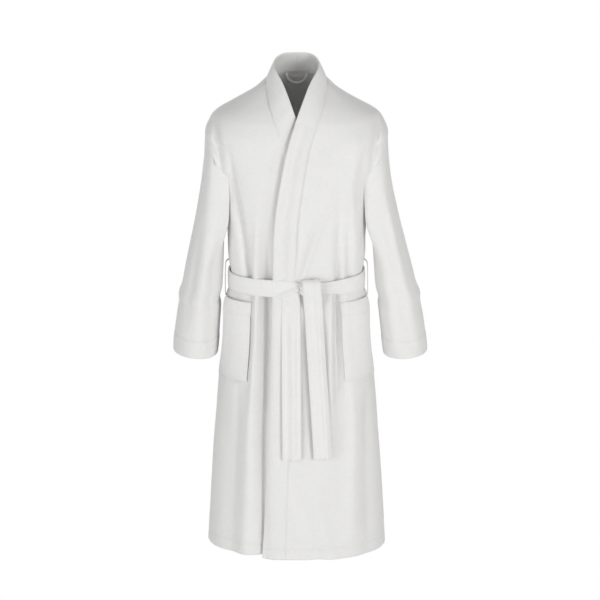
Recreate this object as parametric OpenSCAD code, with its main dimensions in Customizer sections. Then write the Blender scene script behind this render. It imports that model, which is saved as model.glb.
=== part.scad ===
// Kimono bathrobe, worn and tied: wrap-over fronts, long collar bands, drop-shoulder
// sleeves with cuffs, patch pockets, belt loops, tied belt and an inside hanging loop.
// +Z is up, the front faces -Y, and +X is the wearer's left.
// The origin is midway between the two neck points of the shoulders.

/* [Body] */
// Neck point of the shoulder to the hem
robe_length = 1200; // [1000:10:1350]
// Across the robe at the neck points
neck_width = 152; // [130:1:180]
// Across the robe at the shoulder tips
shoulder_width = 416; // [360:1:480]
// Drop from the neck point to the shoulder tip
shoulder_drop = 80; // [60:1:100]
// Across the robe under the arms
chest_width = 368; // [320:1:445]
// Front to back under the arms
chest_depth = 229; // [190:1:280]
// Neck point to the middle of the belt
waist_drop = 507; // [430:1:580]
// Across the robe under the belt
waist_width = 326; // [280:1:400]
// Front to back under the belt
waist_depth = 190; // [160:1:250]
// Across the hem
hem_width = 448; // [400:1:560]
// Front to back at the hem
hem_depth = 318; // [260:1:400]
// Thickness of the cloth
cloth = 3; // [2:0.5:4]

/* [Wrap and collar] */
// Width of the collar band
band_width = 60; // [45:1:75]
// Thickness of the band, which is two cloths pressed together
band_thick = 5; // [4:0.5:6]
// How far the left band's seam runs past the middle at the hem
wrap_at_hem = 27; // [0:1:45]
// How much higher the underlapping right front hangs
right_hem_rise = 8; // [0:1:15]
// Depth of the turned hem
hem_turn = 35; // [20:1:50]

/* [Sleeves] */
// Across the armhole ring, from its top to the armpit
armhole_height = 111; // [95:1:130]
// Armhole ring, front to back
armhole_depth = 150; // [120:1:170]
// Neck point down to the armpit
armpit_drop = 238; // [215:1:270]
// Sleeve from the armpit to the end of the cuff
sleeve_length = 466; // [380:2:520]
// Width of the flattened sleeve end seen from the front
cuff_spread = 110; // [85:1:130]
// Cuff, front to back
cuff_depth = 152; // [120:1:180]
// Height of the cuff band
cuff_height = 50; // [30:1:70]
// How far the left sleeve stands out from where the right one hangs, in degrees
left_sleeve_out = 2.5; // [0:0.5:4]

/* [Pockets] */
// Height of a patch pocket
pocket_height = 196; // [160:1:230]
// Belt's middle down to the pocket mouth
pocket_drop = 45; // [28:1:60]
// Angle round the body where the pocket starts, from the side seam
pocket_from = 11; // [9:1:20]
// Angle round the body that the pocket covers
pocket_span = 44; // [30:1:52]
// How far the middle of the pocket stands off the robe
pocket_room = 16; // [10:1:20]
// Height of the turned pocket mouth
pocket_turn = 33; // [20:1:45]

/* [Belt] */
// Width of the belt
belt_width = 45; // [35:1:55]
// Thickness of the belt, two cloths
belt_thick = 5; // [4:0.5:6]
// Free length of the tails below the knot
tail_length = 408; // [300:1:480]
// Width of the belt loops' tape
loop_tape = 10; // [8:1:14]

/* [Neck fittings] */
// Radius of the hanging loop's outer edge
hang_radius = 28; // [22:1:32]
// Width of the hanging loop's tape
hang_tape = 6; // [4:0.5:8]
// Width of the label
label_width = 44; // [30:1:60]

/* [Hidden] */

seam_gap = 0.8;         // between two pieces that are sewn edge to edge
lay_gap = 1.2;          // between a cloth and the cloth that lies on it
belt_stand = 3;         // belt's inner face above the fronts
sleeve_clear = 5;       // between the robe's side and a hanging sleeve
hem_thick = 2 * cloth - 1;
hem_z = -robe_length;
tip_z = -shoulder_drop;
waist_z = -waist_drop;
armpit_z = -armpit_drop;
skirt_z = waist_z - 68;            // where the skirt has sprung out from the belt
turn_z = hem_z + hem_turn;         // top of the turned hem
front_share = 0.52;                // of each depth, the part in front of the side seams
sunk = band_thick + 1;             // how far the right front lies below the left one

neck_half = neck_width / 2;
armpit_x = chest_width / 2;
ring_run = 43;                     // how far the armhole ring leans out, from armpit to top
ring_top_x = armpit_x + ring_run;
ring_top_z = armpit_z + sqrt(armhole_height ^ 2 - ring_run ^ 2);
ring_mid = [(ring_top_x + armpit_x) / 2, 0, (ring_top_z + armpit_z) / 2];
ring_half = [(ring_top_x - armpit_x) / 2, 0, (ring_top_z - armpit_z) / 2];

// ---------- small helpers ----------

function lerp(a, b, k) = a + (b - a) * k;
function clamp(k) = min(1, max(0, k));
function smooth(k) = let(c = clamp(k)) c * c * (3 - 2 * c);
function unit(v) = v / norm(v);
function seg(rows, z, i = 0) =
    (i >= len(rows) - 2 || z >= rows[i + 1][0]) ? i : seg(rows, z, i + 1);
function slope(rows, i) =
    let(a = rows[max(i - 1, 0)], b = rows[min(i + 1, len(rows) - 1)]) (b - a) / (b[0] - a[0]);
// A smooth curve through rows that run downwards, read at height z.
function through(rows, z) =
    let(i = seg(rows, z), a = rows[i], b = rows[i + 1], h = b[0] - a[0], k = clamp((z - a[0]) / h))
    (2 * k ^ 3 - 3 * k ^ 2 + 1) * a + (k ^ 3 - 2 * k ^ 2 + k) * h * slope(rows, i)
    + (3 * k ^ 2 - 2 * k ^ 3) * b + (k ^ 3 - k ^ 2) * h * slope(rows, i + 1);

// ---------- the body's outside surface ----------

function upto(depth) = [depth * front_share, depth * (1 - front_share)];
// Stations down the body: height, half width, front depth, back depth, squareness.
STATIONS = [
    [0, neck_half, 34, 62, 2],
    [tip_z * 0.3, lerp(neck_half, shoulder_width / 2, 0.29), 58, 74, 2],
    [tip_z * 0.65, lerp(neck_half, shoulder_width / 2, 0.66), 82, 86, 2],
    [tip_z, shoulder_width / 2, 97, 97, 2.1],
    concat([ring_top_z, ring_top_x], upto(chest_depth - 16), [2.7]),
    concat([armpit_z, armpit_x], upto(chest_depth), [3]),
    concat([lerp(armpit_z, waist_z, 0.36), lerp(armpit_x, waist_width / 2, 0.4)],
        upto(lerp(chest_depth, waist_depth, 0.3)), [2.8]),
    concat([lerp(armpit_z, waist_z, 0.7), lerp(armpit_x, waist_width / 2, 0.72)],
        upto(lerp(chest_depth, waist_depth, 0.75)), [2.6]),
    concat([waist_z, waist_width / 2], upto(waist_depth), [2.5]),
    concat([skirt_z, lerp(waist_width, hem_width, 0.24) / 2],
        upto(lerp(waist_depth, hem_depth, 0.16)), [2.4]),
    concat([lerp(skirt_z, hem_z, 0.14), lerp(waist_width, hem_width, 0.33) / 2],
        upto(lerp(waist_depth, hem_depth, 0.32)), [2.4]),
    concat([lerp(skirt_z, hem_z, 0.28), lerp(waist_width, hem_width, 0.5) / 2],
        upto(lerp(waist_depth, hem_depth, 0.48)), [2.4]),
    concat([lerp(skirt_z, hem_z, 0.62), lerp(waist_width, hem_width, 0.76) / 2],
        upto(lerp(waist_depth, hem_depth, 0.75)), [2.3]),
    concat([hem_z, hem_width / 2], upto(hem_depth), [2.3])
];
function section(z) = through(STATIONS, z);

function depth_of(s, back) = back ? s[3] : s[2];
// A point on the hoop at one height: t is 0 at the side seam and 90 at the middle.
function hoop(s, t, back = false) =
    let(c = cos(t), e = 2 / s[4])
    [s[1] * sign(c) * abs(c) ^ e, (back ? 1 : -1) * depth_of(s, back) * abs(sin(t)) ^ e, s[0]];
function angle_at(s, x) =
    let(q = clamp(abs(x) / s[1]) ^ (s[4] / 2)) x >= 0 ? acos(q) : 180 - acos(q);
function front_y(x, z) =
    let(s = section(z)) -s[2] * (1 - clamp(abs(x) / s[1]) ^ s[4]) ^ (1 / s[4]);

// The outward normal at a point of the surface.
function normal(p) =
    let(s = section(p.z), a = section(p.z + 2), b = section(p.z - 2), back = p.y > 0,
        d = depth_of(s, back), dw = (a[1] - b[1]) / 4, dd = (depth_of(a, back) - depth_of(b, back)) / 4,
        fx = abs(p.x / s[1]) ^ (s[4] - 1), fy = abs(p.y / d) ^ (s[4] - 1))
    unit([sign(p.x) * fx / s[1], sign(p.y) * fy / d,
        -(fx * abs(p.x / s[1]) * dw / s[1] + fy * abs(p.y / d) * dd / d)]);
function out(p, d) = p + d * normal(p);

// ---------- armhole ring, neckline and loose corner ----------

function ring_share(z) = (z - ring_mid.z) / ring_half.z;
function ring_y(z) = abs(ring_share(z)) < 1 ? armhole_depth / 2 * sqrt(1 - ring_share(z) ^ 2) : 0;
function ring_x(z) = ring_mid.x + ring_half.x * ring_share(z);
function arm_angle(s, back) = asin(clamp(ring_y(s[0]) / depth_of(s, back)) ^ (s[4] / 2));

// The seam between a front and its band: height, distance from the middle.
SEAM = [
    [0, neck_half - 0.1],
    [waist_z * 0.1, neck_half * 0.87],
    [waist_z * 0.264, neck_half * 0.487],
    [waist_z * 0.465, neck_half * 0.237],
    [waist_z * 0.7, neck_half * 0.053],
    [waist_z, 0],
    [hem_z, -wrap_at_hem]
];
function seam_x(z) = through(SEAM, z)[1];
// From the seam to the band's free edge: height, then the step across, forward and up.
LEAN = [
    [0, -21, -10, 0.7 * band_width],
    [waist_z * 0.1, -0.65 * band_width, 8, 0.83 * band_width],
    [waist_z * 0.264, -0.87 * band_width, 2, 0.32 * band_width],
    [waist_z * 0.465, -0.98 * band_width, 0, 0.07 * band_width],
    [waist_z * 0.7, -band_width, 0, 0],
    [hem_z, -band_width, 0, 0]
];
// Round the back of the neck: share of the way from the middle, then seam and free edge.
NECK_ROUND = [
    [0, [0, 62, 5], [0, 52, band_width]],
    [0.35, [0.29 * neck_width, 54, 7], [0.2 * neck_width, 46, band_width]],
    [0.7, [0.45 * neck_width, 28, 5], [0.33 * neck_width, 21, 0.9 * band_width]],
    [1, [neck_half - 0.1, 0, 0], [neck_half - 21, -10, 0.7 * band_width]]
];

corner_share = 0.342;                       // of the skirt's front edge, the part that turns back
corner_top = hem_z + corner_share * (robe_length - waist_drop);
corner_reach = 112;                         // how far along the hem the loose corner runs
corner_gap = 1.5;
corner_edge = seam_x(corner_top) - band_width;
corner_rate = (hem_z - corner_top) / (corner_reach - corner_edge);
function corner_z(x) = corner_top + corner_rate * (x - corner_edge);
function corner_x(z) = corner_edge + (z - corner_top) / corner_rate;

// Heights of the rows that panels share, so that their edges meet.
UPPER = concat(
    [tip_z * 0.03, tip_z * 0.3, tip_z * 0.65, tip_z],
    [for (a = [0:30:180]) ring_mid.z + ring_half.z * cos(a)],
    [for (k = [0.25, 0.5, 0.75]) lerp(armpit_z, waist_z, k)],
    [waist_z + 24, waist_z - 24]
);
SKIRT = [0, 0.15, 0.3, 0.5, 0.75, 1];       // shares of the way down the skirt

// How far the right front sinks below the left one, in mirrored places.
function sink(p) =
    sunk * smooth((-8 - p.z) / 40) * smooth((angle_at(section(p.z), p.x) - 38) / 20);

// ---------- solids ----------

// A closed cloth between two grids of points, outer(i, j) and inner(i, j).
module shell(ni, nj, outer, inner, wrap = false) {
    rows = wrap ? nj : nj + 1;
    count = (ni + 1) * rows;
    a = function(i, j) i * rows + (wrap ? j % rows : j);
    b = function(i, j) count + a(i, j);
    quad = function(p, q, r, s) [[p, q, r], [p, r, s]];
    points = concat(
        [for (i = [0:ni]) for (j = [0:rows - 1]) outer(i, j)],
        [for (i = [0:ni]) for (j = [0:rows - 1]) inner(i, j)]);
    faces = concat(
        [for (i = [0:ni - 1]) for (j = [0:nj - 1])
            each quad(a(i, j), a(i, j + 1), a(i + 1, j + 1), a(i + 1, j))],
        [for (i = [0:ni - 1]) for (j = [0:nj - 1])
            each quad(b(i, j), b(i + 1, j), b(i + 1, j + 1), b(i, j + 1))],
        [for (j = [0:nj - 1]) each quad(a(0, j), b(0, j), b(0, j + 1), a(0, j + 1))],
        [for (j = [0:nj - 1]) each quad(a(ni, j), a(ni, j + 1), b(ni, j + 1), b(ni, j))],
        wrap ? [] : [for (i = [0:ni - 1]) each quad(a(i, 0), a(i + 1, 0), b(i + 1, 0), b(i, 0))],
        wrap ? [] : [for (i = [0:ni - 1]) each quad(a(i, nj), b(i, nj), b(i + 1, nj), a(i + 1, nj))]);
    polyhedron(points, faces);
}

// A point of a front: u runs from the armhole or side seam to the band's seam.
function front_point(u, z) =
    let(s = section(z), t0 = arm_angle(s, false), t = lerp(t0, angle_at(s, seam_x(z)), u),
        pull = ring_y(z) > 0 ? ring_x(z) - hoop(s, t0).x : 0)
    hoop(s, t) + [pull * (1 - smooth(u * 2)), 0, 0];
function back_point(u, z) =
    let(s = section(z), t0 = arm_angle(s, true), k = abs(2 * u - 1),
        pull = ring_y(z) > 0 ? ring_x(z) - hoop(s, t0, true).x : 0,
        p = hoop(s, lerp(90, t0, k), true))
    [(p.x + pull * smooth(k * 2 - 1)) * (u > 0.5 ? 1 : -1), p.y, p.z];

// The back's top edge, where the collar band starts.
function neck_edge(u) =
    let(p = between(NECK_ROUND, abs(2 * u - 1))[0]) [p.x * (u > 0.5 ? 1 : -1), p.y, p.z - 2 * seam_gap];

// Where the left front ends above its loose corner, or at the turned hem.
function bottom_at(u, loose) =
    let(a = front_point(u, turn_z), z1 = loose ? corner_z(a.x) + corner_gap : turn_z,
        b = front_point(u, max(z1, turn_z)), z2 = loose ? corner_z(b.x) + corner_gap : turn_z)
    max(turn_z, z2) + seam_gap / 2;

front_columns = 12;
front_rows = len(UPPER) + len(SKIRT) - 1;
module front(loose) {
    rise = loose ? 0 : right_hem_rise;
    place = function(i, j)
        let(u = i / front_columns, k = j < len(UPPER) ? 0 : SKIRT[j - len(UPPER)],
            z = j < len(UPPER) ? UPPER[j] : lerp(skirt_z, bottom_at(u, loose), k) + rise * smooth(k))
        front_point(u, z) + [i == front_columns ? seam_gap / 2 : 0, 0, 0];
    shell(front_columns, front_rows,
        function(i, j) let(p = place(i, j)) out(p, loose ? 0 : -sink(p)),
        function(i, j) let(p = place(i, j)) out(p, (loose ? 0 : -sink(p)) - cloth));
}

// The turned hem of a front, from the side seam to the band or to the loose corner.
module front_hem(loose) {
    rise = loose ? 0 : right_hem_rise;
    place = function(i, j)
        let(z = lerp(turn_z - seam_gap / 2, hem_z, j / 2) + rise, s = section(z),
            x = loose ? corner_x(z) + corner_gap : seam_x(z) + seam_gap / 2)
        hoop(s, angle_at(s, x) * i / front_columns);
    lift = (hem_thick - cloth) / 2;
    shell(front_columns, 2,
        function(i, j) let(p = place(i, j)) out(p, lift - (loose ? 0 : sink(p))),
        function(i, j) let(p = place(i, j)) out(p, lift - (loose ? 0 : sink(p)) - hem_thick));
}

module back_panel() color("whitesmoke") {
    rows = concat(UPPER, [for (k = SKIRT) lerp(skirt_z, turn_z + seam_gap / 2, k)]);
    place = function(i, j) [0, seam_gap / 2, 0]
        + (j == 0 ? neck_edge(i / 24) : back_point(i / 24, rows[j]));
    shell(24, len(rows) - 1,
        function(i, j) place(i, j),
        function(i, j) let(p = place(i, j)) out(p, -cloth) + [0, p.y < 1 ? seam_gap / 2 : 0, 0]);
}
module hem_back() color("white") {
    lift = (hem_thick - cloth) / 2;
    place = function(i, j) back_point(i / 24, lerp(turn_z - seam_gap / 2, hem_z, j / 2))
        + [0, seam_gap, 0];
    shell(24, 2,
        function(i, j) out(place(i, j), lift),
        function(i, j) out(place(i, j), lift - hem_thick));
}
module front_panel_left() color("white") front(true);
module front_panel_right() color("white") mirror([1, 0, 0]) front(false);
module hem_left() color("white") front_hem(true);
module hem_right() color("white") mirror([1, 0, 0]) front_hem(false);

// The loose corner of the left front, below the slanting line that it folds on.
module corner_patch(columns, x_from, x_to, top, bottom, lift, thick) {
    place = function(i, j)
        let(k = i / columns, across = function(z) lerp(x_from(z), x_to(z), k),
            z_top = top(across(top(across(turn_z)))), z = lerp(z_top, bottom, j / 3), x = across(z))
        [x, front_y(x, z), z];
    shell(columns, 3,
        function(i, j) out(place(i, j), lift),
        function(i, j) out(place(i, j), lift - thick));
}
module front_corner_left() color("white")
    corner_patch(8,
        function(z) corner_x(turn_z) - 6, function(z) seam_x(z) + seam_gap / 2,
        function(x) corner_z(x) - corner_gap, turn_z + seam_gap / 2, 0, cloth);
module hem_corner() color("white")
    corner_patch(8,
        function(z) corner_x(z) - corner_gap, function(z) seam_x(z) + seam_gap / 2,
        function(x) turn_z - seam_gap / 2, hem_z, (hem_thick - cloth) / 2, hem_thick);
module collar_band_corner() color("white")
    corner_patch(4,
        function(z) seam_x(z) - seam_gap / 2, function(z) seam_x(z) - band_width,
        function(x) corner_z(x) - corner_gap, hem_z, (band_thick - cloth) / 2, band_thick);

// ---------- collar bands ----------

band_columns = 4;
band_clear = 0.4 * band_width;              // how far before the left band's edge the right one sinks
band_sag = 7 + max(0, 1.3 * (band_width - 60));  // how much further its free edge sinks at the neck
NECK_STEPS = [0, 0.2, 0.4, 0.6, 0.8, 0.97];
BAND_UPPER = [for (z = UPPER) if (z < waist_z * 0.04) z];
function between(rows, k) =
    let(i = k < rows[1][0] ? 0 : k < rows[2][0] ? 1 : 2, a = rows[i], b = rows[i + 1],
        m = (k - a[0]) / (b[0] - a[0])) [lerp(a[1], b[1], m), lerp(a[2], b[2], m)];
// Where the left band ends above the loose corner, so far from its seam.
function band_end(across) =
    let(z = corner_z(seam_x(turn_z) - across)) corner_z(seam_x(z) - across) + corner_gap;
// A point of the left band: j counts the rows from the middle of the back down to the hem.
function band_point(i, j, loose) =
    let(k = i / band_columns, n = len(NECK_STEPS), m = n + len(BAND_UPPER),
        q = j < n ? between(NECK_ROUND, NECK_STEPS[j]) : 0,
        low = loose ? band_end(k * band_width) : hem_z, step = SKIRT[max(j - m, 0)],
        rise = loose ? 0 : right_hem_rise * smooth(step),
        z = j < m ? BAND_UPPER[j - n] : lerp(skirt_z, low, step) + rise)
    j < n ? lerp(q[0], q[1], k)
    : let(lean = through(LEAN, z), x = seam_x(z) + lerp(-seam_gap / 2, lean[1], k),
        foot = front_y(seam_x(z), z), face = front_y(x, z),
        stand = 1 - smooth((z / waist_z - 0.264) / 0.4))
    [x, lerp(face, foot + lean[2] * k, stand), z + lean[3] * k];

module band(loose) {
    nj = len(NECK_STEPS) + len(BAND_UPPER) + len(SKIRT) - 1;
    point = function(i, j) band_point(i, j, loose);
    face = function(i, j) unit(cross(
        point(min(i + 1, band_columns), j) - point(max(i - 1, 0), j),
        point(i, min(j + 1, nj)) - point(i, max(j - 1, 0))));
    lift = (band_thick - cloth) / 2;
    // The right band lies under the left one, more so where both stand up.
    sag = function(i, p) loose ? 0 : smooth((-8 - p.z) / 40)
        * smooth((band_clear - p.x - seam_x(p.z) - through(LEAN, p.z)[1]) / 14)
        * (sunk + band_sag * i / band_columns * (1 - smooth((p.z / waist_z - 0.264) / 0.4)));
    place = function(i, j, d)
        let(p = point(i, j), q = p + face(i, j) * (d - sag(i, p)))
        [j == 0 ? seam_gap / 2 : q.x, q.y, q.z];
    shell(band_columns, nj,
        function(i, j) place(i, j, lift),
        function(i, j) place(i, j, lift - band_thick));
}
module collar_band_left() color("white") band(true);
module collar_band_right() color("white") mirror([1, 0, 0]) band(false);

// ---------- sleeves and cuffs ----------

sleeve_run = ring_top_z - armpit_z + sleeve_length;
cuff_share = 1 - cuff_height / sleeve_run;
cuff_slant = 8;
loop_stand = belt_stand + belt_thick + 6;   // room for the belt and its loop beside the sleeve
function sleeve_lean(z, left) = (left ? tan(left_sleeve_out) : 0) * max(0, armpit_z - z);
// Where the sleeve's inner and outer edges are, k of the way down it.
function sleeve_outer_z(k) = lerp(ring_top_z, armpit_z - sleeve_length + cuff_slant, k);
function sleeve_inner_z(k) = sleeve_outer_z(k) - lerp(cuff_slant, 2 * ring_half.z, (1 - k) ^ 3);
function sleeve_inner_x(k) =
    let(z = sleeve_inner_z(k), share = clamp((armpit_z - z) / sleeve_length))
    max(lerp(armpit_x, armpit_x + 13, share) - 6 * sin(180 * share),
        section(z)[1] + sleeve_clear * clamp(k * 6)
            + loop_stand * smooth((loop_half + 40 - abs(z - waist_z)) / 40));
function sleeve_point(k, a, left, inset) =
    let(inner = [sleeve_inner_x(k), 0, sleeve_inner_z(k)],
        across = [lerp(2 * ring_half.x, cuff_spread, smooth(k / 0.95)), 0,
            sleeve_outer_z(k) - sleeve_inner_z(k)],
        mid = inner + across / 2, half = across / 2 * (1 - inset / norm(across / 2)),
        deep = lerp(armhole_depth, cuff_depth, k) / 2 + 5 * sin(180 * k) - inset,
        p = mid + half * cos(a) + [0, deep * sin(a), 0])
    p + [sleeve_lean(p.z, left), 0, 0];
ring_out = unit([ring_half.z, 0, -ring_half.x]);
module sleeve_tube(left, from, to, rows, swell, thick) {
    place = function(i, j, inset)
        let(k = lerp(from, to, i / rows)) sleeve_point(k, j * 18, left, inset) + ring_out * seam_gap;
    shell(rows, 20,
        function(i, j) place(i, j, -swell),
        function(i, j) place(i, j, thick - swell), wrap = true);
}
seam_share = seam_gap / sleeve_run;
module sleeve_left() color("white") sleeve_tube(true, 0, cuff_share - seam_share, 14, 0, cloth);
module sleeve_right() color("white")
    mirror([1, 0, 0]) sleeve_tube(false, 0, cuff_share - seam_share, 14, 0, cloth);
module cuff_left() color("white") sleeve_tube(true, cuff_share + seam_share, 1, 2, 1.5, 2 * cloth);
module cuff_right() color("white")
    mirror([1, 0, 0]) sleeve_tube(false, cuff_share + seam_share, 1, 2, 1.5, 2 * cloth);

// ---------- pockets ----------

pocket_top = waist_z - pocket_drop;
pocket_seam = pocket_top - pocket_turn;
// A patch that stands off the front in its middle and lies on it round its edge.
module pocket_patch(left, top, bottom, rows, thick) {
    lift = function(u, z) let(v = clamp((pocket_top - z) / pocket_height))
        lay_gap + (pocket_room - lay_gap) * sin(180 * u) ^ 0.7 * cos(90 * v) ^ 0.5;
    place = function(i, j, d)
        let(u = i / 10, z = lerp(top, bottom, j / rows),
            p = hoop(section(z), pocket_from + pocket_span * u))
        out(p, lift(u, z) + d - (left ? 0 : sink(p)));
    shell(10, rows,
        function(i, j) place(i, j, thick),
        function(i, j) place(i, j, 0));
}
module pocket_left() color("white")
    pocket_patch(true, pocket_seam - seam_gap, pocket_top - pocket_height, 6, cloth);
module pocket_right() color("white")
    mirror([1, 0, 0]) pocket_patch(false, pocket_seam - seam_gap, pocket_top - pocket_height, 6, cloth);
module pocket_facing_left() color("white") pocket_patch(true, pocket_top, pocket_seam, 2, hem_thick);
module pocket_facing_right() color("white")
    mirror([1, 0, 0]) pocket_patch(false, pocket_top, pocket_seam, 2, hem_thick);

// ---------- belt ----------

belt_top = waist_z + belt_width / 2;
belt_low = waist_z - belt_width / 2;
belt_face = front_y(30, waist_z) - belt_stand - belt_thick;    // front of the belt at the knot
knot_mid = [31, belt_face - 16, waist_z + 4];
knot_size = [50, 28, 40];
knot_turn = 7;
knot_tilt = knot_size.x / 2 * sin(knot_turn);
tail_gap = 6;                                                  // from the knot to a tail's top
tail_top = knot_mid.z - knot_size.z / 2 - knot_tilt - tail_gap;
module belt() color("whitesmoke") {
    place = function(i, j, d)
        let(z = lerp(belt_top, belt_low, i / 2), a = j * 7.5, back = a <= 180,
            t = a <= 90 ? a : a <= 180 ? 180 - a : a <= 270 ? a - 180 : 360 - a,
            p = hoop(section(z), t, back), s = (a > 90 && a < 270) ? -1 : 1, q = [p.x * s, p.y, p.z])
        out(q, belt_stand + d);
    shell(2, 48,
        function(i, j) place(i, j, belt_thick),
        function(i, j) place(i, j, 0), wrap = true);
}
// A solid pad with round corners, as an upright stack of soft-cornered rings.
module pad(size, rows, columns) {
    soft = function(v) sign(v) * abs(v) ^ 0.6;
    ring = function(i, j)
        let(r = soft(sin(180 * i / rows)), b = 360 * j / columns)
        [size.x * r * soft(cos(b)), size.y * r * soft(sin(b)), size.z * soft(cos(180 * i / rows))] / 2;
    count = (rows - 1) * columns;
    at = function(i, j) (i - 1) * columns + j % columns;
    points = concat(
        [for (i = [1:rows - 1]) for (j = [0:columns - 1]) ring(i, j)],
        [[0, 0, size.z / 2], [0, 0, -size.z / 2]]);
    faces = concat(
        [for (i = [1:rows - 2]) for (j = [0:columns - 1]) each [
            [at(i, j), at(i, j + 1), at(i + 1, j + 1)],
            [at(i, j), at(i + 1, j + 1), at(i + 1, j)]]],
        [for (j = [0:columns - 1]) [count, at(1, j + 1), at(1, j)]],
        [for (j = [0:columns - 1]) [at(rows - 1, j), at(rows - 1, j + 1), count + 1]]);
    polyhedron(points, faces);
}
module belt_knot() color("whitesmoke")
    translate(knot_mid) rotate([0, -knot_turn, 0]) pad(knot_size, 10, 16);
// A tail hangs down the skirt's surface: x of its middle at the top and at its end.
module tail(x_top, x_end) {
    length = tail_length - (belt_low - tail_top);
    place = function(i, j, d)
        let(k = i / 14, z = tail_top - 1.5 - length * k, middle = lerp(x_top, x_end, k),
            stand = lerp(belt_stand + belt_thick + lay_gap, 2 * lay_gap, smooth(k * 3)))
        [middle + belt_width * (0.5 - j / 4), front_y(middle, z) - stand - d, z];
    shell(14, 4,
        function(i, j) place(i, 4 - j, belt_thick),
        function(i, j) place(i, 4 - j, 0));
}
over_top = 34;                                                 // over tail's middle below the knot
over_end = 63;                                                 // and at its lower end
under_top = over_top - belt_width - 3.5;
under_end = over_end - belt_width - 30;
module belt_tail_over() color("whitesmoke") tail(over_top, over_end);
module belt_tail_under() color("whitesmoke") tail(under_top, under_end);

// ---------- belt loops ----------

loop_thick = 2;
loop_room = belt_stand + belt_thick + 4;
loop_half = belt_width / 2 + 22;
loop_bend = 8;
loop_rise = 4;
module belt_loop() {
    side = function(z) section(z)[1] + lay_gap;
    high = side(waist_z + loop_half);
    low = side(waist_z - loop_half);
    top_x = max(side(waist_z) + loop_room - loop_bend, high + loop_rise);
    low_x = max(side(waist_z) + loop_room - loop_bend, low + loop_rise);
    end_z = loop_half - loop_bend;
    rim = function(d) concat(
        [[high, end_z + loop_bend + d]],
        [for (a = [90:-15:0]) [top_x, end_z] + (loop_bend + d) * [cos(a), sin(a)]],
        [for (a = [0:-15:-90]) [low_x, -end_z] + (loop_bend + d) * [cos(a), sin(a)]],
        [[low, -end_z - loop_bend - d]]);
    count = len(rim(0));
    translate([0, loop_tape / 2, waist_z]) rotate([90, 0, 0]) linear_extrude(loop_tape)
        polygon(concat(rim(0), [for (i = [count - 1:-1:0]) rim(loop_thick)[i]]));
}
module belt_loop_left() color("white") belt_loop();
module belt_loop_right() color("white") mirror([1, 0, 0]) belt_loop();

// ---------- neck fittings ----------

hang_y = 47;
hang_z = 8;
hang_thick = 1.6;
module hanging_loop() color("white")
    translate([0, hang_y + hang_thick / 2, hang_z]) rotate([90, 0, 0])
        linear_extrude(hang_thick) difference() {
            circle(r = hang_radius, $fn = 64);
            circle(r = hang_radius - hang_tape, $fn = 64);
            translate([-hang_radius - 1, 0]) square([2 * hang_radius + 2, hang_radius + 1]);
        }
label_slope = 27;
module neck_label() color("lightgray")
    translate([-label_width / 2, hang_y + 6, 0]) rotate([label_slope, 0, 0])
        translate([0, 0, -22]) cube([label_width, 1, 20]);

back_panel();
front_panel_left();
front_panel_right();
front_corner_left();
collar_band_left();
collar_band_right();
collar_band_corner();
sleeve_left();
sleeve_right();
cuff_left();
cuff_right();
pocket_left();
pocket_right();
pocket_facing_left();
pocket_facing_right();
belt();
belt_knot();
belt_tail_over();
belt_tail_under();
belt_loop_left();
belt_loop_right();
hem_back();
hem_left();
hem_right();
hem_corner();
hanging_loop();
neck_label();
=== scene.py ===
import math
import bisect
import bpy
import bmesh
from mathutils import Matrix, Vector, noise
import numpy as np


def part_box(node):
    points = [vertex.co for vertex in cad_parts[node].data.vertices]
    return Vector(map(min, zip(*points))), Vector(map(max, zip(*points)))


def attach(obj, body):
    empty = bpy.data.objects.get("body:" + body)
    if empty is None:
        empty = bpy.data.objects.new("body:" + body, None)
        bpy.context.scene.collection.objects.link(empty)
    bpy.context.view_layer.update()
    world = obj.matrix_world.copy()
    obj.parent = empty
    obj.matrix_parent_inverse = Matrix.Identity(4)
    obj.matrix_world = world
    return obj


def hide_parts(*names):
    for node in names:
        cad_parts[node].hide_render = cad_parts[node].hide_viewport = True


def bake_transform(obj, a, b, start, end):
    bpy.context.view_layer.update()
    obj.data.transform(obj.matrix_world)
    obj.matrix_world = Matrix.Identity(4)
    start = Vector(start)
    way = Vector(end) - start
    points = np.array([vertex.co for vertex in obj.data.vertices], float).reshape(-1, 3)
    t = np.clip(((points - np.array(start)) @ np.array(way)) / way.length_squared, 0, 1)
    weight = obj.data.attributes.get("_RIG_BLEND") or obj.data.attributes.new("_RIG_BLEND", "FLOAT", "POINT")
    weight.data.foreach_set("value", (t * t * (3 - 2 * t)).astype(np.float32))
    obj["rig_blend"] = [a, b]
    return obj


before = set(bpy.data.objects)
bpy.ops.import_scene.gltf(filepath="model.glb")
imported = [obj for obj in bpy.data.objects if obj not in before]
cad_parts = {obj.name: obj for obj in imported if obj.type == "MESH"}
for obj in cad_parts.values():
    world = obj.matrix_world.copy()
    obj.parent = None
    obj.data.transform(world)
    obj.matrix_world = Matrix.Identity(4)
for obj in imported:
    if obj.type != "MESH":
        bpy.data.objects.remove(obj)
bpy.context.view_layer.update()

# Where the main parts of the robe are, in metres.
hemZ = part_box("hem_back")[0].z
waistZ = (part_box("belt")[0].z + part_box("belt")[1].z) / 2
robe = {
    "neckHalf": 0.076, "shoulderHalf": 0.208, "shoulderDrop": 0.080,
    "chestHalf": 0.184, "chestDepth": 0.229, "armpitDrop": 0.238,
    "waistHalf": 0.163, "waistDepth": 0.190, "hemHalf": 0.224, "hemDepth": 0.318,
    "frontShare": 0.52, "ringRun": 0.043, "armholeHeight": 0.111, "armholeDepth": 0.150,
    "wrapAtHem": 0.027, "rightHemRise": 0.008,
    "cloth": 0.0026, "bandCloth": 0.0044, "underLeft": 0.0085,
}
armpitZ = -robe["armpitDrop"]
ringTopX = robe["chestHalf"] + robe["ringRun"]
ringTopZ = armpitZ + math.sqrt(robe["armholeHeight"] ** 2 - robe["ringRun"] ** 2)
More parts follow.
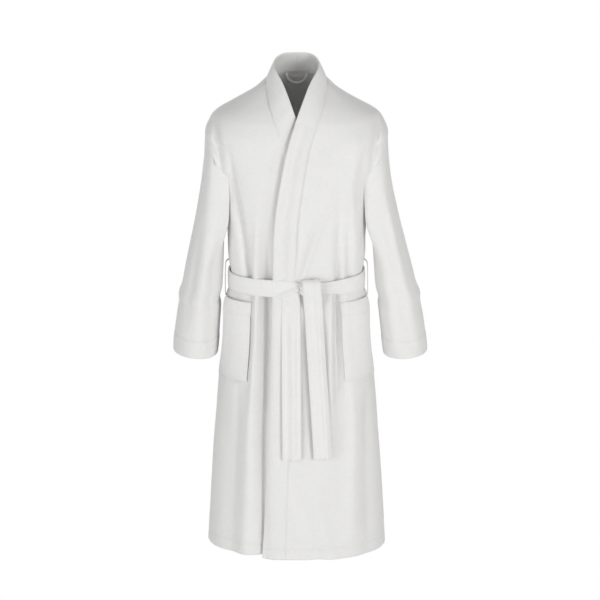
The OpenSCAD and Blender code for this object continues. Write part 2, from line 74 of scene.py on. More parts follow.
ringMid = Vector(((ringTopX + robe["chestHalf"]) / 2, 0, (ringTopZ + armpitZ) / 2))
ringHalf = Vector(((ringTopX - robe["chestHalf"]) / 2, 0, (ringTopZ - armpitZ) / 2))
skirtZ = waistZ - 0.068


def lerp(a, b, k):
    return a + (b - a) * k


def clamp(k):
    return min(1.0, max(0.0, k))


def smooth(k):
    k = clamp(k)
    return k * k * (3 - 2 * k)


def bump(x, width):
    return math.exp(-(x / width) ** 2)


# The sum of rounded ridges, each with its place, height and half width.
def ridges(x, rows):
    return sum(height * bump(x - at, width) for at, height, width in rows)


# A smooth curve through rows, read where their first number is at.
def through(rows, at):
    down = rows[0][0] > rows[-1][0]
    i = 0
    while i < len(rows) - 2 and (at <= rows[i + 1][0] if down else at >= rows[i + 1][0]):
        i += 1
    a, b = rows[i], rows[i + 1]
    before, after = rows[max(i - 1, 0)], rows[min(i + 2, len(rows) - 1)]
    h = b[0] - a[0]
    k = clamp((at - a[0]) / h)
    out = []
    for n in range(1, len(a)):
        s0 = (b[n] - before[n]) / (b[0] - before[0]) * h
        s1 = (after[n] - a[n]) / (after[0] - a[0]) * h
        out.append((2 * k ** 3 - 3 * k ** 2 + 1) * a[n] + (k ** 3 - 2 * k ** 2 + k) * s0
                   + (3 * k ** 2 - 2 * k ** 3) * b[n] + (k ** 3 - k ** 2) * s1)
    return out


def depths(depth):
    return (depth * robe["frontShare"], depth * (1 - robe["frontShare"]))


def station(z, half, depth, square, squareBehind=None):
    return (z, half, *depths(depth), square, squareBehind or square)


tipZ = -robe["shoulderDrop"]
neckH, shoulderH, chestH = robe["neckHalf"], robe["shoulderHalf"], robe["chestHalf"]
waistH, hemH = robe["waistHalf"], robe["hemHalf"]
chestD, waistD, hemD = robe["chestDepth"], robe["waistDepth"], robe["hemDepth"]
# Down the body: height, half width, depth in front, depth behind, squareness in front and behind.
stations = [
    (0.0, neckH, 0.034, 0.062, 2.0, 2.0),
    (tipZ * 0.3, lerp(neckH, shoulderH, 0.29), 0.058, 0.074, 2.0, 1.9),
    (tipZ * 0.65, lerp(neckH, shoulderH, 0.66), 0.082, 0.086, 2.1, 1.9),
    (tipZ * 0.93, lerp(neckH, shoulderH, 0.955), 0.094, 0.094, 2.3, 1.9),
    (tipZ * 1.1, shoulderH + 0.0045, 0.100, 0.098, 2.5, 2.0),
    station(ringTopZ, ringTopX, chestD - 0.016, 3.0, 2.4),
    station(armpitZ, chestH, chestD, 3.0, 2.9),
    station(lerp(armpitZ, waistZ, 0.36), lerp(chestH, waistH, 0.4), lerp(chestD, waistD, 0.3), 2.8),
    station(lerp(armpitZ, waistZ, 0.7), lerp(chestH, waistH, 0.72), lerp(chestD, waistD, 0.75), 2.6),
    station(waistZ, waistH, waistD, 2.5),
    station(skirtZ, lerp(waistH, hemH, 0.24), lerp(waistD, hemD, 0.16), 2.4),
    station(lerp(skirtZ, hemZ, 0.14), lerp(waistH, hemH, 0.33), lerp(waistD, hemD, 0.32), 2.4),
    station(lerp(skirtZ, hemZ, 0.28), lerp(waistH, hemH, 0.5), lerp(waistD, hemD, 0.48), 2.4),
    station(lerp(skirtZ, hemZ, 0.62), lerp(waistH, hemH, 0.76), lerp(waistD, hemD, 0.75), 2.3),
    station(hemZ, hemH, hemD, 2.3),
]
tableStep = 0.002
sameSpot = 1e-5
sectionTable = [through(stations, -tableStep * n) for n in range(int(-hemZ / tableStep) + 6)]


def spotIn(table, z):
    last = len(table) - 2
    at = clamp(-z / tableStep / last) * last
    i = min(int(at), last)
    return i, at - i


def section(z):
    i, k = spotIn(sectionTable, z)
    return [lerp(a, b, k) for a, b in zip(sectionTable[i], sectionTable[i + 1])]


# A point at the angle t round the body: 0 is the left side seam, 90 the middle, 180 the right one.
def hoop(z, t, back=False):
    half, front, rear, square, squareBehind = section(z)
    c, s = math.cos(math.radians(t)), math.sin(math.radians(t))
    e = 2 / (squareBehind if back else square)
    y = (rear if back else -front) * abs(s) ** e
    return Vector((math.copysign(half * abs(c) ** e, c), y, z))


def angleAt(z, x):
    half, _, _, square, _ = section(z)
    t = math.degrees(math.acos(clamp(abs(x) / half) ** (square / 2)))
    return t if x >= 0 else 180 - t


def frontY(x, z):
    half, front, _, square, _ = section(z)
    return -front * (1 - clamp(abs(x) / half) ** square) ** (1 / square)


def outward(p):
    half, front, rear, square, squareBehind = section(p.z)
    square = squareBehind if p.y > 0 else square
    high, low = section(p.z + tableStep), section(p.z - tableStep)
    n = 2 if p.y > 0 else 1
    depth = rear if p.y > 0 else front
    dHalf, dDepth = (high[0] - low[0]) / (2 * tableStep), (high[n] - low[n]) / (2 * tableStep)
    fx, fy = abs(p.x / half) ** (square - 1), abs(p.y / depth) ** (square - 1)
    fall = fx * abs(p.x / half) * dHalf / half + fy * abs(p.y / depth) * dDepth / depth
    return Vector((math.copysign(fx, p.x) / half, math.copysign(fy, p.y) / depth, -fall)).normalized()


def ringY(z):
    share = (z - ringMid.z) / ringHalf.z
    return robe["armholeDepth"] / 2 * math.sqrt(1 - share ** 2) if abs(share) < 1 else 0.0


def ringX(z):
    return ringMid.x + ringHalf.x * (z - ringMid.z) / ringHalf.z


def armAngle(z, back):
    half, front, rear, square, squareBehind = section(z)
    depth, square = (rear, squareBehind) if back else (front, square)
    return math.degrees(math.asin(clamp(ringY(z) / depth) ** (square / 2)))


# The seam between a front and its collar band: height, distance from the middle.
seamLine = [
    (0.0, neckH), (waistZ * 0.1, neckH * 0.87), (waistZ * 0.264, neckH * 0.487),
    (waistZ * 0.465, neckH * 0.237), (waistZ * 0.7, neckH * 0.053), (waistZ, 0.0),
    (hemZ, -robe["wrapAtHem"]),
]


def seamX(z):
    return through(seamLine, z)[0]


band = {
    "columns": 10, "rows": 214, "lift": 0.0021, "edgeLift": 0.0040, "stitch": 0.0030,
    "overlap": 0.0014, "ridges": ((0.22, 0.0045, 0.16), (0.60, -0.0070, 0.10)),
    "lean": [(0.0, -0.021, -0.010, 0.042), (waistZ * 0.1, -0.039, 0.008, 0.0498),
             (waistZ * 0.264, -0.0522, 0.002, 0.0192), (waistZ * 0.465, -0.0588, 0.0, 0.0042),
             (waistZ * 0.7, -0.060, 0.0, 0.0), (hemZ, -0.060, 0.0, 0.0)],
}


def bandLean(z):
    return through(band["lean"], z)[0]


# Lengths along the body, so that rows of a panel are evenly spaced on the cloth.
lengthTable = [0.0]
for n in range(1, len(sectionTable)):
    a, b = hoop(-tableStep * (n - 1), 35), hoop(-tableStep * n, 35)
    lengthTable.append(lengthTable[-1] + (a - b).length)


def lengthAt(z):
    i, k = spotIn(lengthTable, z)
    return lerp(lengthTable[i], lengthTable[i + 1], k)


def heightAt(length):
    i = min(max(bisect.bisect_left(lengthTable, length), 1), len(lengthTable) - 1)
    a, b = lengthTable[i - 1], lengthTable[i]
    return -tableStep * (i - 1 + (length - a) / (b - a))


def rowHeight(v, top, bottom):
    return heightAt(lerp(lengthAt(top), lengthAt(bottom), v))


print("surface ready")

# Folds on the fronts, each from the top down: height, x, height of the ridge or depth of the
# valley, and its half width.
frontFolds = [
    [(-0.200, 0.112, 0.000, 0.012), (-0.300, 0.108, -0.004, 0.011), (-0.400, 0.106, -0.010, 0.009),
     (-0.487, 0.104, -0.020, 0.007), (-0.530, 0.102, -0.028, 0.008), (-0.620, 0.103, -0.028, 0.009),
     (-0.700, 0.105, -0.024, 0.011), (-0.850, 0.110, -0.012, 0.020), (-1.050, 0.115, 0.000, 0.035)],
    [(-0.250, 0.130, 0.000, 0.008), (-0.487, 0.130, -0.012, 0.007), (-0.540, 0.130, 0.000, 0.008)],
    [(-0.090, 0.159, 0.000, 0.016), (-0.150, 0.150, 0.009, 0.013), (-0.245, 0.134, 0.009, 0.014),
     (-0.400, 0.142, 0.006, 0.013), (-0.470, 0.145, 0.000, 0.012)],
    [(-0.095, 0.074, 0.000, 0.010), (-0.140, 0.071, -0.006, 0.009), (-0.190, 0.067, -0.005, 0.010),
     (-0.270, 0.060, 0.000, 0.012)],
    [(-0.515, 0.0845, 0.005, 0.008), (-0.600, 0.0845, 0.012, 0.008), (-0.750, 0.0860, 0.012, 0.011),
     (-0.950, 0.0920, 0.000, 0.022)],
    [(-0.250, 0.082, 0.000, 0.012), (-0.330, 0.062, 0.006, 0.012), (-0.400, 0.038, 0.010, 0.011),
     (-0.470, 0.014, 0.011, 0.010), (-0.505, 0.006, 0.000, 0.009)],
    [(-0.330, 0.036, 0.000, 0.008), (-0.400, 0.018, -0.005, 0.008), (-0.487, -0.004, -0.008, 0.008),
     (-0.505, -0.004, 0.000, 0.008)],
    [(-0.110, -0.174, 0.000, 0.010), (-0.180, -0.166, -0.006, 0.010), (-0.250, -0.158, -0.009, 0.009),
     (-0.330, -0.143, -0.012, 0.009), (-0.420, -0.128, -0.017, 0.007), (-0.487, -0.119, -0.022, 0.007),
     (-0.560, -0.116, 0.000, 0.010)],
    [(-0.300, -0.099, 0.000, 0.010), (-0.400, -0.099, 0.008, 0.009), (-0.500, -0.099, 0.007, 0.009)],
    [(-0.270, -0.074, 0.000, 0.012), (-0.360, -0.076, -0.007, 0.011), (-0.487, -0.076, -0.015, 0.010),
     (-0.540, -0.077, -0.027, 0.010), (-0.620, -0.078, -0.028, 0.010), (-0.750, -0.080, -0.026, 0.011),
     (-0.900, -0.085, -0.021, 0.012), (-1.050, -0.084, -0.017, 0.013),
     (-1.230, -0.082, -0.013, 0.015)],
    [(-0.510, -0.096, 0.009, 0.007), (-0.620, -0.099, 0.013, 0.008), (-0.750, -0.106, 0.014, 0.012),
     (-0.900, -0.114, 0.012, 0.020), (-1.230, -0.124, 0.008, 0.030)],
    [(-0.700, -0.146, 0.000, 0.012), (-0.850, -0.150, -0.007, 0.014), (-1.230, -0.166, -0.006, 0.020)],
    [(-0.960, -0.022, 0.000, 0.012), (-1.004, -0.009, -0.006, 0.012), (-1.100, 0.022, -0.008, 0.012),
     (-1.172, 0.046, -0.007, 0.013), (-1.230, 0.060, -0.004, 0.015)],
    [(-0.940, 0.030, 0.000, 0.018), (-1.080, 0.060, 0.007, 0.018), (-1.230, 0.100, 0.006, 0.022)],
    [(-0.740, 0.140, 0.000, 0.014), (-0.860, 0.142, 0.006, 0.014), (-1.040, 0.140, 0.006, 0.018),
     (-1.230, 0.136, 0.003, 0.026)],
    [(-0.740, 0.176, 0.000, 0.014), (-0.850, 0.178, -0.008, 0.013), (-1.100, 0.180, -0.007, 0.016),
     (-1.230, 0.182, -0.003, 0.020)],
    [(-0.740, -0.168, 0.000, 0.020), (-0.850, -0.174, -0.004, 0.018), (-1.230, -0.180, -0.003, 0.022)],
]
# The crease between chest and arm, and the arm's own roundness beside it, pushed along Y.
armFolds = [
    [(-0.060, 0.2050, 0.000, 0.005), (-0.085, 0.2025, -0.011, 0.006), (-0.120, 0.1975, -0.018, 0.007),
     (-0.155, 0.1925, -0.018, 0.007), (-0.190, 0.1880, -0.009, 0.007), (-0.220, 0.1850, 0.000, 0.008)],
]
# Folds on the back, in the same way.
backFolds = [
    [(-0.060, x, 0.000, 0.008), (-0.120, x * 0.965, -0.010, 0.010), (-0.197, x * 0.91, -0.008, 0.010),
     (-0.240, x * 0.89, 0.000, 0.010)] for x in (0.206, -0.206)
] + [
    [(waistZ + 0.26 * reach, x * 1.02, 0.000, 0.016), (waistZ + 0.10, x, -0.007, 0.012),
     (waistZ, x, -0.012, 0.010), (waistZ - 0.06, x, -0.013, 0.011),
     (waistZ - 0.25, x * 1.12, -0.009, 0.020), (hemZ - 0.02, x * 1.3, -0.007 * reach, 0.034)]
    for x, reach in ((-0.122, 0.8), (-0.086, 1.0), (-0.042, 0.7), (0.012, 1.0), (0.050, 0.6),
                     (0.091, 1.0), (0.131, 0.8))
]


def foldSum(folds, x, z):
    total = 0.0
    for fold in folds:
        if not fold[-1][0] < z < fold[0][0]:
            continue
        i = 0
        while z < fold[i + 1][0]:
            i += 1
        a, b = fold[i], fold[i + 1]
        k = (a[0] - z) / (a[0] - b[0])
        away = abs(x - lerp(a[1], b[1], k)) / lerp(a[3], b[3], k)
        if away < 3:
            total += lerp(a[2], b[2], smooth(k)) * math.exp(-(away * away + 0.03) ** 0.8 + 0.06)
    return total


# The cloth swells above and below the belt, and the belt holds it in.
beltHold = {"swell": ((0.060, 0.0035, 0.040), (-0.055, 0.003, 0.030), (0, 0.001, 0.020)),
            "flatten": ((0, 0.55, 0.022),)}


def swell(z):
    return ridges(z - waistZ, beltHold["swell"])


def underBelt(z):
    return 1 - ridges(z - waistZ, beltHold["flatten"])


def ripple(p, size=1.0):
    slow = noise.noise(Vector((p.x * 11, p.y * 11, p.z * 6)))
    quick = noise.noise(Vector((p.x * 38 + 7, p.y * 38, p.z * 24)))
    return size * (0.0016 * slow + 0.0005 * quick)


# How far a panel stands out of the plain surface. Its folds fade within a few degrees of the side.
def standOut(folds, x, z, fade=12):
    t = angleAt(z, x)
    return swell(z) + foldSum(folds, x, z) * smooth(min(t, 180 - t) / fade) * underBelt(z)


def frontOut(x, z):
    return standOut(frontFolds, x, z)


def backOut(x, z):
    return standOut(backFolds, x, z)


# Turns a finished bmesh into a smooth piece in the scene.
def pieceOf(name, bm):
    mesh = bpy.data.meshes.new(name)
    bm.to_mesh(mesh)
    bm.free()
    mesh.shade_smooth()
    piece = bpy.data.objects.new(name, mesh)
    bpy.context.scene.collection.objects.link(piece)
    return piece


def soften(piece):
    soft = piece.modifiers.new("soft", "SUBSURF")
    soft.levels = soft.render_levels = 1


# Makes a cloth from a flat grid: place(u, v) says where each point goes, out(u, v, p) how far it
# stands along its normal, and stitches(...) how far it is from its stitched lines, from its
# distances to the left, right, top and bottom edges. "straight" is the column the weave follows.
def clothPiece(name, columns, rows, place, out=None, stitches=None, thickness=robe["cloth"],
               flip=False, tube=False, normalOf=None, straight=0.0):
    bm = bmesh.new()
    bmesh.ops.create_grid(bm, x_segments=columns, y_segments=rows, size=0.5)
    across, along = bm.verts.layers.float.new("across"), bm.verts.layers.float.new("along")
    spots, whereIs = {}, {}
    for vert in bm.verts:
        u, v = vert.co.x + 0.5, vert.co.y + 0.5
        vert[across], vert[along] = u, v
        whereIs[vert] = (round(u * columns), round(v * rows))
        vert.co = place(u, v)
        spots[whereIs[vert]] = vert.co.copy()
    runU, runV = {}, {}
    for j in range(rows + 1):
        for i in range(columns + 1):
            runU[i, j] = runU[i - 1, j] + (spots[i, j] - spots[i - 1, j]).length if i else 0.0
            runV[i, j] = runV[i, j - 1] + (spots[i, j] - spots[i, j - 1]).length if j else 0.0
    clothMap, seamMap = bm.loops.layers.uv.new("clothMap"), bm.loops.layers.uv.new("seamMap")
    ref = round(straight * columns)
    for face in bm.faces:
        for loop in face.loops:
            i, j = whereIs[loop.vert]
            loop[clothMap].uv = (runU[i, j] - runU[ref, j], -runV[ref, j])
            loop[seamMap].uv = (1.0, 1.0) if stitches is None else stitches(
                runU[i, j], runU[columns, j] - runU[i, j], runV[i, j], runV[i, rows] - runV[i, j])
    if tube:
        bmesh.ops.remove_doubles(bm, verts=bm.verts, dist=sameSpot)
    if flip:
        bmesh.ops.reverse_faces(bm, faces=bm.faces)
    bm.normal_update()
    if out:
        for vert in bm.verts:
            normal = normalOf(vert.co) if normalOf else vert.normal
            vert.co = vert.co + normal * out(vert[across], vert[along], vert.co)
    inside = [vert for vert in bm.verts if not vert.is_boundary]
    bmesh.ops.smooth_vert(bm, verts=inside, factor=0.5, use_axis_x=True, use_axis_y=True,
                          use_axis_z=True)
    for layer in ("across", "along"):
        bm.verts.layers.float.remove(bm.verts.layers.float[layer])
    piece = pieceOf(name, bm)
    wall = piece.modifiers.new("wall", "SOLIDIFY")
    wall.thickness, wall.offset = thickness, -1
    soften(piece)


# The distance to the nearest of some stitched lines that run "line" inside their edges.
def nearest(line, *edges):
    return line - min(edges)


# A front panel, from the side seam and armhole (u 0) to under its collar band (u 1). Its outer
# edge is turned in by a seam allowance.
frontPanel = {"columns": 60, "rows": 190, "top": -0.0015, "tuck": 0.007, "allowance": 0.0035,
              "armAllowance": 0.003, "hemStitch": 0.028}


def turnIn(z):
    return lerp(frontPanel["allowance"], frontPanel["armAllowance"], smooth(ringY(z) / 0.02))


def frontPlace(side, top, bottom):
    def place(u, v):
        z = rowHeight(v, top, bottom)
        t0 = armAngle(z, False)
        edge = seamX(z) - frontPanel["tuck"] * smooth((-z - 0.02) / 0.1)
        p = hoop(z, lerp(t0, angleAt(z, edge), u))
        if ringY(z) > 0:
            p.x += (ringX(z) - hoop(z, t0).x) * (1 - smooth(2 * u))
        if u < 1e-6:
            p.y += turnIn(z)
        p.y -= foldSum(armFolds, p.x, p.z) * smooth(u * 30)
        return Vector((side * p.x, p.y, p.z))
    return place


# How far the right front lies below the left one, under it and just beside its edge.
def sinkUnder(x, z):
    edge = seamX(z) + bandLean(z)
    return robe["underLeft"] * smooth((-0.008 - z) / 0.04) * smooth((x - edge + 0.045) / 0.033)


def frontLift(side, u, p):
    lift = frontOut(p.x, p.z) + ripple(p)
    if side < 0:
        lift -= sinkUnder(p.x, p.z)
    if u < 1e-6:
        lift -= turnIn(p.z)
    return lift


def hemStitches(left, right, top, bottom):
    return (1.0, bottom - frontPanel["hemStitch"])


def frontCloth(name, side, bottom):
    clothPiece(name, frontPanel["columns"], frontPanel["rows"],
               frontPlace(side, frontPanel["top"], bottom), lambda u, v, p: frontLift(side, u, p),
               hemStitches, flip=side < 0, normalOf=outward, straight=1.0)


rightHemZ = hemZ + robe["rightHemRise"]
frontCloth("frontLeft", 1, hemZ)
frontCloth("frontRight", -1, rightHemZ)
print("fronts ready")

# The back, from one side seam round to the other.
backPanel = {"columns": 84, "rows": 132, "top": -0.0005, "rise": 0.012}


def mirrored(u, p):
    return Vector((-p.x if u < 0.5 else p.x, p.y, p.z))


def backPlace(u, v):
    z = rowHeight(v, backPanel["top"], hemZ)
    k = abs(2 * u - 1)
    t0 = armAngle(z, True)
    p = hoop(z, lerp(90, t0, k), True)
    if ringY(z) > 0:
        p.x += (ringX(z) - hoop(z, t0, True).x) * smooth(2 * k - 1)
    p.z += backPanel["rise"] * (1 - smooth(-z / 0.02)) * (1 - k ** 6)
    return mirrored(u, p)


clothPiece("backCloth", backPanel["columns"], backPanel["rows"], backPlace,
           lambda u, v, p: backOut(p.x, p.z) + ripple(p), hemStitches, normalOf=outward, straight=0.5)
print("back ready")

# Turned hems: a second layer inside each lower edge.
hemFacing = {"columns": 52, "rows": 5, "height": 0.030, "thickness": 0.0020, "short": 0.0012,
             "gap": 0.0002}


def facing(name, columns, place, liftAt, flip=False):
    def inner(u, v, p):
        return liftAt(u, p) - robe["cloth"] - hemFacing["gap"]
    clothPiece(name, columns, hemFacing["rows"], place, inner, None, hemFacing["thickness"],
               flip=flip, normalOf=outward)


def hemTop(bottom):
    return bottom + hemFacing["short"] + hemFacing["height"], bottom + hemFacing["short"]


def frontFacing(name, side, bottom):
    facing(name, hemFacing["columns"], frontPlace(side, *hemTop(bottom)),
           lambda u, p: frontLift(side, max(u, 0.01), p), side < 0)


frontFacing("hemLeft", 1, hemZ)
frontFacing("hemRight", -1, rightHemZ)


def backHemPlace(u, v):
    top, bottom = hemTop(hemZ)
    z = lerp(top, bottom, v)
    return mirrored(u, hoop(z, lerp(90, 0, abs(2 * u - 1)), True))


facing("hemBack", backPanel["columns"], backHemPlace, lambda u, p: backOut(p.x, p.z) + ripple(p))
print("hems ready")

# Collar bands, from the middle of the back of the neck down to the hem: k is 0 at the seam.
# They stand round the neck and lie down on the fronts further down.
def lyingDown(z):
    return smooth((z / waistZ - 0.264) / 0.4)


def bandFront(k, z):
    leanX, leanY, leanZ = through(band["lean"], z)
    x = seamX(z) + leanX * k
    y = lerp(frontY(x, z), frontY(seamX(z), z) + leanY * k, 1 - lyingDown(z))
    return Vector((x, y, z + leanZ * k))


# Round the neck: length from the shoulder, then the seam's place and the free edge's place.
neckRun = 0.108
neckRound = [
    (-neckRun, 0, 0.062, 0.005, 0, 0.052, 0.060),
    (-0.064, 0.0441, 0.054, 0.007, 0.0304, 0.046, 0.060),
    (-0.026, 0.0684, 0.028, 0.005, 0.0502, 0.021, 0.054),
    (0.0, 0.0759, 0, 0, 0.055, -0.010, 0.042),
    (0.026, *bandFront(0, -0.018), *bandFront(1, -0.018)),
]


def bandPlace(side, rise):
    def place(k, v):
        s = lerp(-neckRun, lengthAt(hemZ + rise), v)
        if s < 0:
            row = through(neckRound, s)
            p = Vector(row[:3]).lerp(Vector(row[3:]), k)
            p.x -= band["overlap"] * smooth((0.010 - neckRun - s) / 0.010)
        else:
            p = bandFront(k, heightAt(s) if s > 0 else 0.0)
        return Vector((side * p.x, p.y, p.z))
    return place


def bandLift(side, k, p):
    z = min(p.z, 0.0)
    down = lyingDown(z)
    lift = band["lift"] + 0.0012 * math.sin(math.pi * k) + 0.6 * ripple(p)
    lift += frontOut(p.x, z) * down
    if side > 0:
        lift += band["edgeLift"] * k * k * smooth((-z - 0.08) / 0.06)
        along = smooth((-z - 0.05) / 0.12) * smooth((z + 0.53) / 0.1)
        lift += along * ridges(k, band["ridges"])
    else:
        x = -p.x
        under = smooth((0.024 - x - seamX(z) - bandLean(z)) / 0.014)
        lift -= sinkUnder(p.x, z) + smooth((-0.008 - p.z) / 0.04) * under * 0.008 * k * (1 - down)
    return lift


def bandStitches(seam, free, top, bottom):
    return (seam - band["stitch"], bottom - frontPanel["hemStitch"])


def bandCloth(name, side, rise):
    clothPiece(name, band["columns"], band["rows"], bandPlace(side, rise),
               lambda u, v, p: bandLift(side, u, p), bandStitches, robe["bandCloth"], flip=side < 0)


bandCloth("bandLeft", 1, 0.0)
bandCloth("bandRight", -1, robe["rightHemRise"])
print("collar bands ready")

# Sleeves hang from the armhole rings. k runs down the sleeve and the angle round it: 0 is the
# outside, 90 behind, 180 beside the body and 270 in front.
sleeve = {
    "length": 0.466, "spread": 0.110, "depth": 0.152, "slant": 0.008, "cuff": 0.050, "clear": 0.005,
    "leanLeft": 2.5, "under": -0.012, "columns": 56, "rows": 84, "swell": 0.0014,
    "cuffRows": 9, "cuffCloth": 0.0048, "cuffLap": 0.006, "cuffStitch": 0.0025,
    "closing": ((240, 0.030, 27), (120, 0.024, 27)),
}
# Folds of each sleeve, in the way of the fronts' folds: -k, angle, height, half width in degrees.
sleeveFolds = {
    1: [[(0.00, 226, 0.000, 12), (-0.08, 224, -0.006, 12), (-0.20, 214, -0.008, 12),
         (-0.38, 206, 0.000, 16)],
        [(-0.12, 256, 0.000, 12), (-0.40, 266, -0.0060, 9), (-0.75, 280, -0.0055, 10),
         (-0.97, 290, 0.000, 14)],
        [(-0.10, 288, 0.000, 12), (-0.45, 296, 0.006, 11), (-0.90, 306, 0.003, 12),
         (-0.99, 310, 0.0, 16)],
        [(-0.40, 238, 0.000, 12), (-0.70, 244, 0.004, 14), (-0.93, 248, 0.003, 14),
         (-1.0, 250, 0.0, 14)],
        [(-0.10, 60, 0.000, 14), (-0.50, 66, -0.004, 14), (-0.95, 72, 0.000, 18)],
        [(-0.20, 110, 0.000, 14), (-0.60, 112, 0.004, 14), (-0.97, 116, 0.000, 18)]],
    -1: [[(0.00, 226, 0.000, 12), (-0.08, 224, -0.006, 12), (-0.20, 214, -0.009, 12),
          (-0.40, 206, 0.000, 16)],
         [(-0.12, 252, 0.000, 12), (-0.50, 242, -0.0065, 10), (-0.95, 234, -0.003, 12),
          (-1.0, 232, 0.0, 14)],
         [(-0.18, 277, 0.000, 12), (-0.55, 272, 0.0065, 11), (-0.90, 268, 0.003, 12),
          (-0.99, 268, 0.0, 16)],
         [(-0.28, 306, 0.000, 12), (-0.65, 304, -0.0055, 10), (-0.95, 304, 0.000, 14)],
         [(-0.10, 60, 0.000, 14), (-0.50, 70, -0.004, 14), (-0.95, 78, 0.000, 18)],
         [(-0.20, 112, 0.000, 14), (-0.60, 118, 0.004, 14), (-0.97, 120, 0.000, 18)]],
}
sleeveRun = ringTopZ - armpitZ + sleeve["length"]
cuffFrom = 1 - sleeve["cuff"] / sleeveRun
# Half the height of a belt loop, which the sleeve hangs clear of.
loopHalf = 0.0445


def sleevePoint(k, angle, side):
    outerZ = lerp(ringTopZ, armpitZ - sleeve["length"] + sleeve["slant"], k)
    innerZ = outerZ - lerp(sleeve["slant"], 2 * ringHalf.z, max(0.0, 1 - k) ** 3)
    share = clamp((armpitZ - innerZ) / sleeve["length"])
    innerX = max(lerp(chestH, chestH + 0.013, share) - 0.006 * math.sin(math.pi * share),
                 section(innerZ)[0] + sleeve["clear"] * clamp(k * 6)
                 + 0.014 * smooth((loopHalf + 0.04 - abs(innerZ - waistZ)) / 0.04))
    across = Vector((lerp(2 * ringHalf.x, sleeve["spread"], smooth(k / 0.95)), 0, outerZ - innerZ))
    mid = Vector((innerX, 0, innerZ)) + across / 2
    deep = lerp(robe["armholeDepth"], sleeve["depth"], k) / 2 + 0.005 * math.sin(math.pi * k)
    a = math.radians(angle)
    p = mid + across / 2 * math.cos(a) + Vector((0, deep * math.sin(a), 0))
    # Below the ring the front and back of the sleeve close on the body.
    close = smooth((k - sleeve["under"]) / 0.050) * (1 - smooth((k - 0.30) / 0.28))
    p.x -= close * ridges(angle % 360, sleeve["closing"])
    if side > 0:
        p.x += math.tan(math.radians(sleeve["leanLeft"])) * max(0.0, armpitZ - p.z)
    return Vector((side * p.x, p.y, p.z))


def sleevePlace(side, k0, k1):
    def place(u, v):
        return sleevePoint(lerp(k0, k1, v), 180 + 360 * u, side)
    return place


def sleeveLift(side, k0, k1):
    def lift(u, v, p):
        k, angle = lerp(k0, k1, v), (180 + 360 * u) % 360
        hold = smooth((k + 0.02) / 0.05)
        puff = 0.002 * math.sin(math.pi * clamp(k)) - 0.0008 * (1 - hold)
        return puff + foldSum(sleeveFolds[side], angle, -k) + ripple(p + Vector((side, 0, 0))) * hold
    return lift


def cuffLift(side):
    inner = sleeveLift(side, cuffFrom, 1.0)

    def lift(u, v, p):
        return inner(u, v, p) + sleeve["swell"] * (0.6 + 0.4 * math.sin(math.pi * v))
    return lift


def cuffStitches(left, right, top, bottom):
    return (1.0, top - sleeve["cuffStitch"])


bothSides = ((1, "Left"), (-1, "Right"))
for side, which in bothSides:
    reach = (side, sleeve["under"], cuffFrom + sleeve["cuffLap"])
    clothPiece("sleeve" + which, sleeve["columns"], sleeve["rows"], sleevePlace(*reach),
               sleeveLift(*reach), flip=side > 0, tube=True)
    clothPiece("cuff" + which, sleeve["columns"], sleeve["cuffRows"], sleevePlace(side, cuffFrom, 1.0),
               cuffLift(side), cuffStitches, sleeve["cuffCloth"], flip=side > 0, tube=True)
print("sleeves ready")

# Patch pockets. Their mouths are turned in and stand off the robe a little.
pocket = {"start": 11.0, "span": 44.0, "room": 0.009, "turn": 0.033, "columns": 28, "rows": 38,
          "gap": 0.0045, "edgeStitch": 0.0045, "rim": 0.0014, "facingRows": 6, "facingCloth": 0.0018,
          "facingShort": 0.0006, "facingGap": 0.0001}
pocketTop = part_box("pocket_facing_left")[1].z
pocket["height"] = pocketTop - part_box("pocket_left")[0].z


def pocketPlace(side, top, bottom):
    def place(u, v):
        p = hoop(lerp(top, bottom, v), pocket["start"] + pocket["span"] * u)
        return Vector((side * p.x, p.y, p.z))
    return place


def pocketLift(side, top, bottom, drop=0.0):
    def lift(u, v, p):
        share = clamp((pocketTop - lerp(top, bottom, v)) / pocket["height"])
        ends = []
        for t in (pocket["start"], pocket["start"] + pocket["span"]):
            q = hoop(p.z, t)
            ends.append(frontOut(side * q.x, p.z))
        sunk = sinkUnder(p.x, p.z) if side < 0 else 0.0
        bulge = (pocket["room"] * math.sin(math.pi * clamp(u)) ** 0.7
                 * math.cos(math.pi / 2 * share) ** 0.6)
        rim = pocket["rim"] * (u < 0.01 or u > 0.99 or share > 0.99)
        own = lerp(ends[0], ends[1], u) + bulge + 0.7 * ripple(p) + rim
        return max(own, frontOut(p.x, p.z)) + pocket["gap"] - sunk - drop
    return lift


def pocketStitches(left, right, top, bottom):
    return (nearest(pocket["edgeStitch"], left, right, bottom), top - pocket["turn"])


pocketLow, turnLow = pocketTop - pocket["height"], pocketTop - pocket["turn"]
for side, which in bothSides:
    clothPiece("pocket" + which, pocket["columns"], pocket["rows"],
               pocketPlace(side, pocketTop, pocketLow), pocketLift(side, pocketTop, pocketLow),
               pocketStitches, flip=side < 0, normalOf=outward)
    clothPiece("pocketFacing" + which, pocket["columns"], pocket["facingRows"],
               pocketPlace(side, pocketTop - pocket["facingShort"], turnLow),
               pocketLift(side, pocketTop, turnLow, robe["cloth"] + pocket["facingGap"]),
               None, pocket["facingCloth"], flip=side < 0, normalOf=outward)
print("pockets ready")

# The belt goes round the waist and narrows into the knot. Angles start at the left side seam.
belt = {"width": 0.045, "thickness": 0.0046, "stand": 0.0075, "columns": 160, "rows": 13,
        "knotX": 0.031, "edgeStitch": 0.0030, "narrowLeft": 0.56, "narrowRight": 0.66,
        "riseLeft": 0.0015, "riseRight": 0.004, "dimple": ((0.010, 0.006, 0.006),),
        "turned": ((0, 0.0075, 0.13), (-0.26, -0.0035, 0.12))}
beltFace = frontY(0.030, waistZ) - belt["stand"]


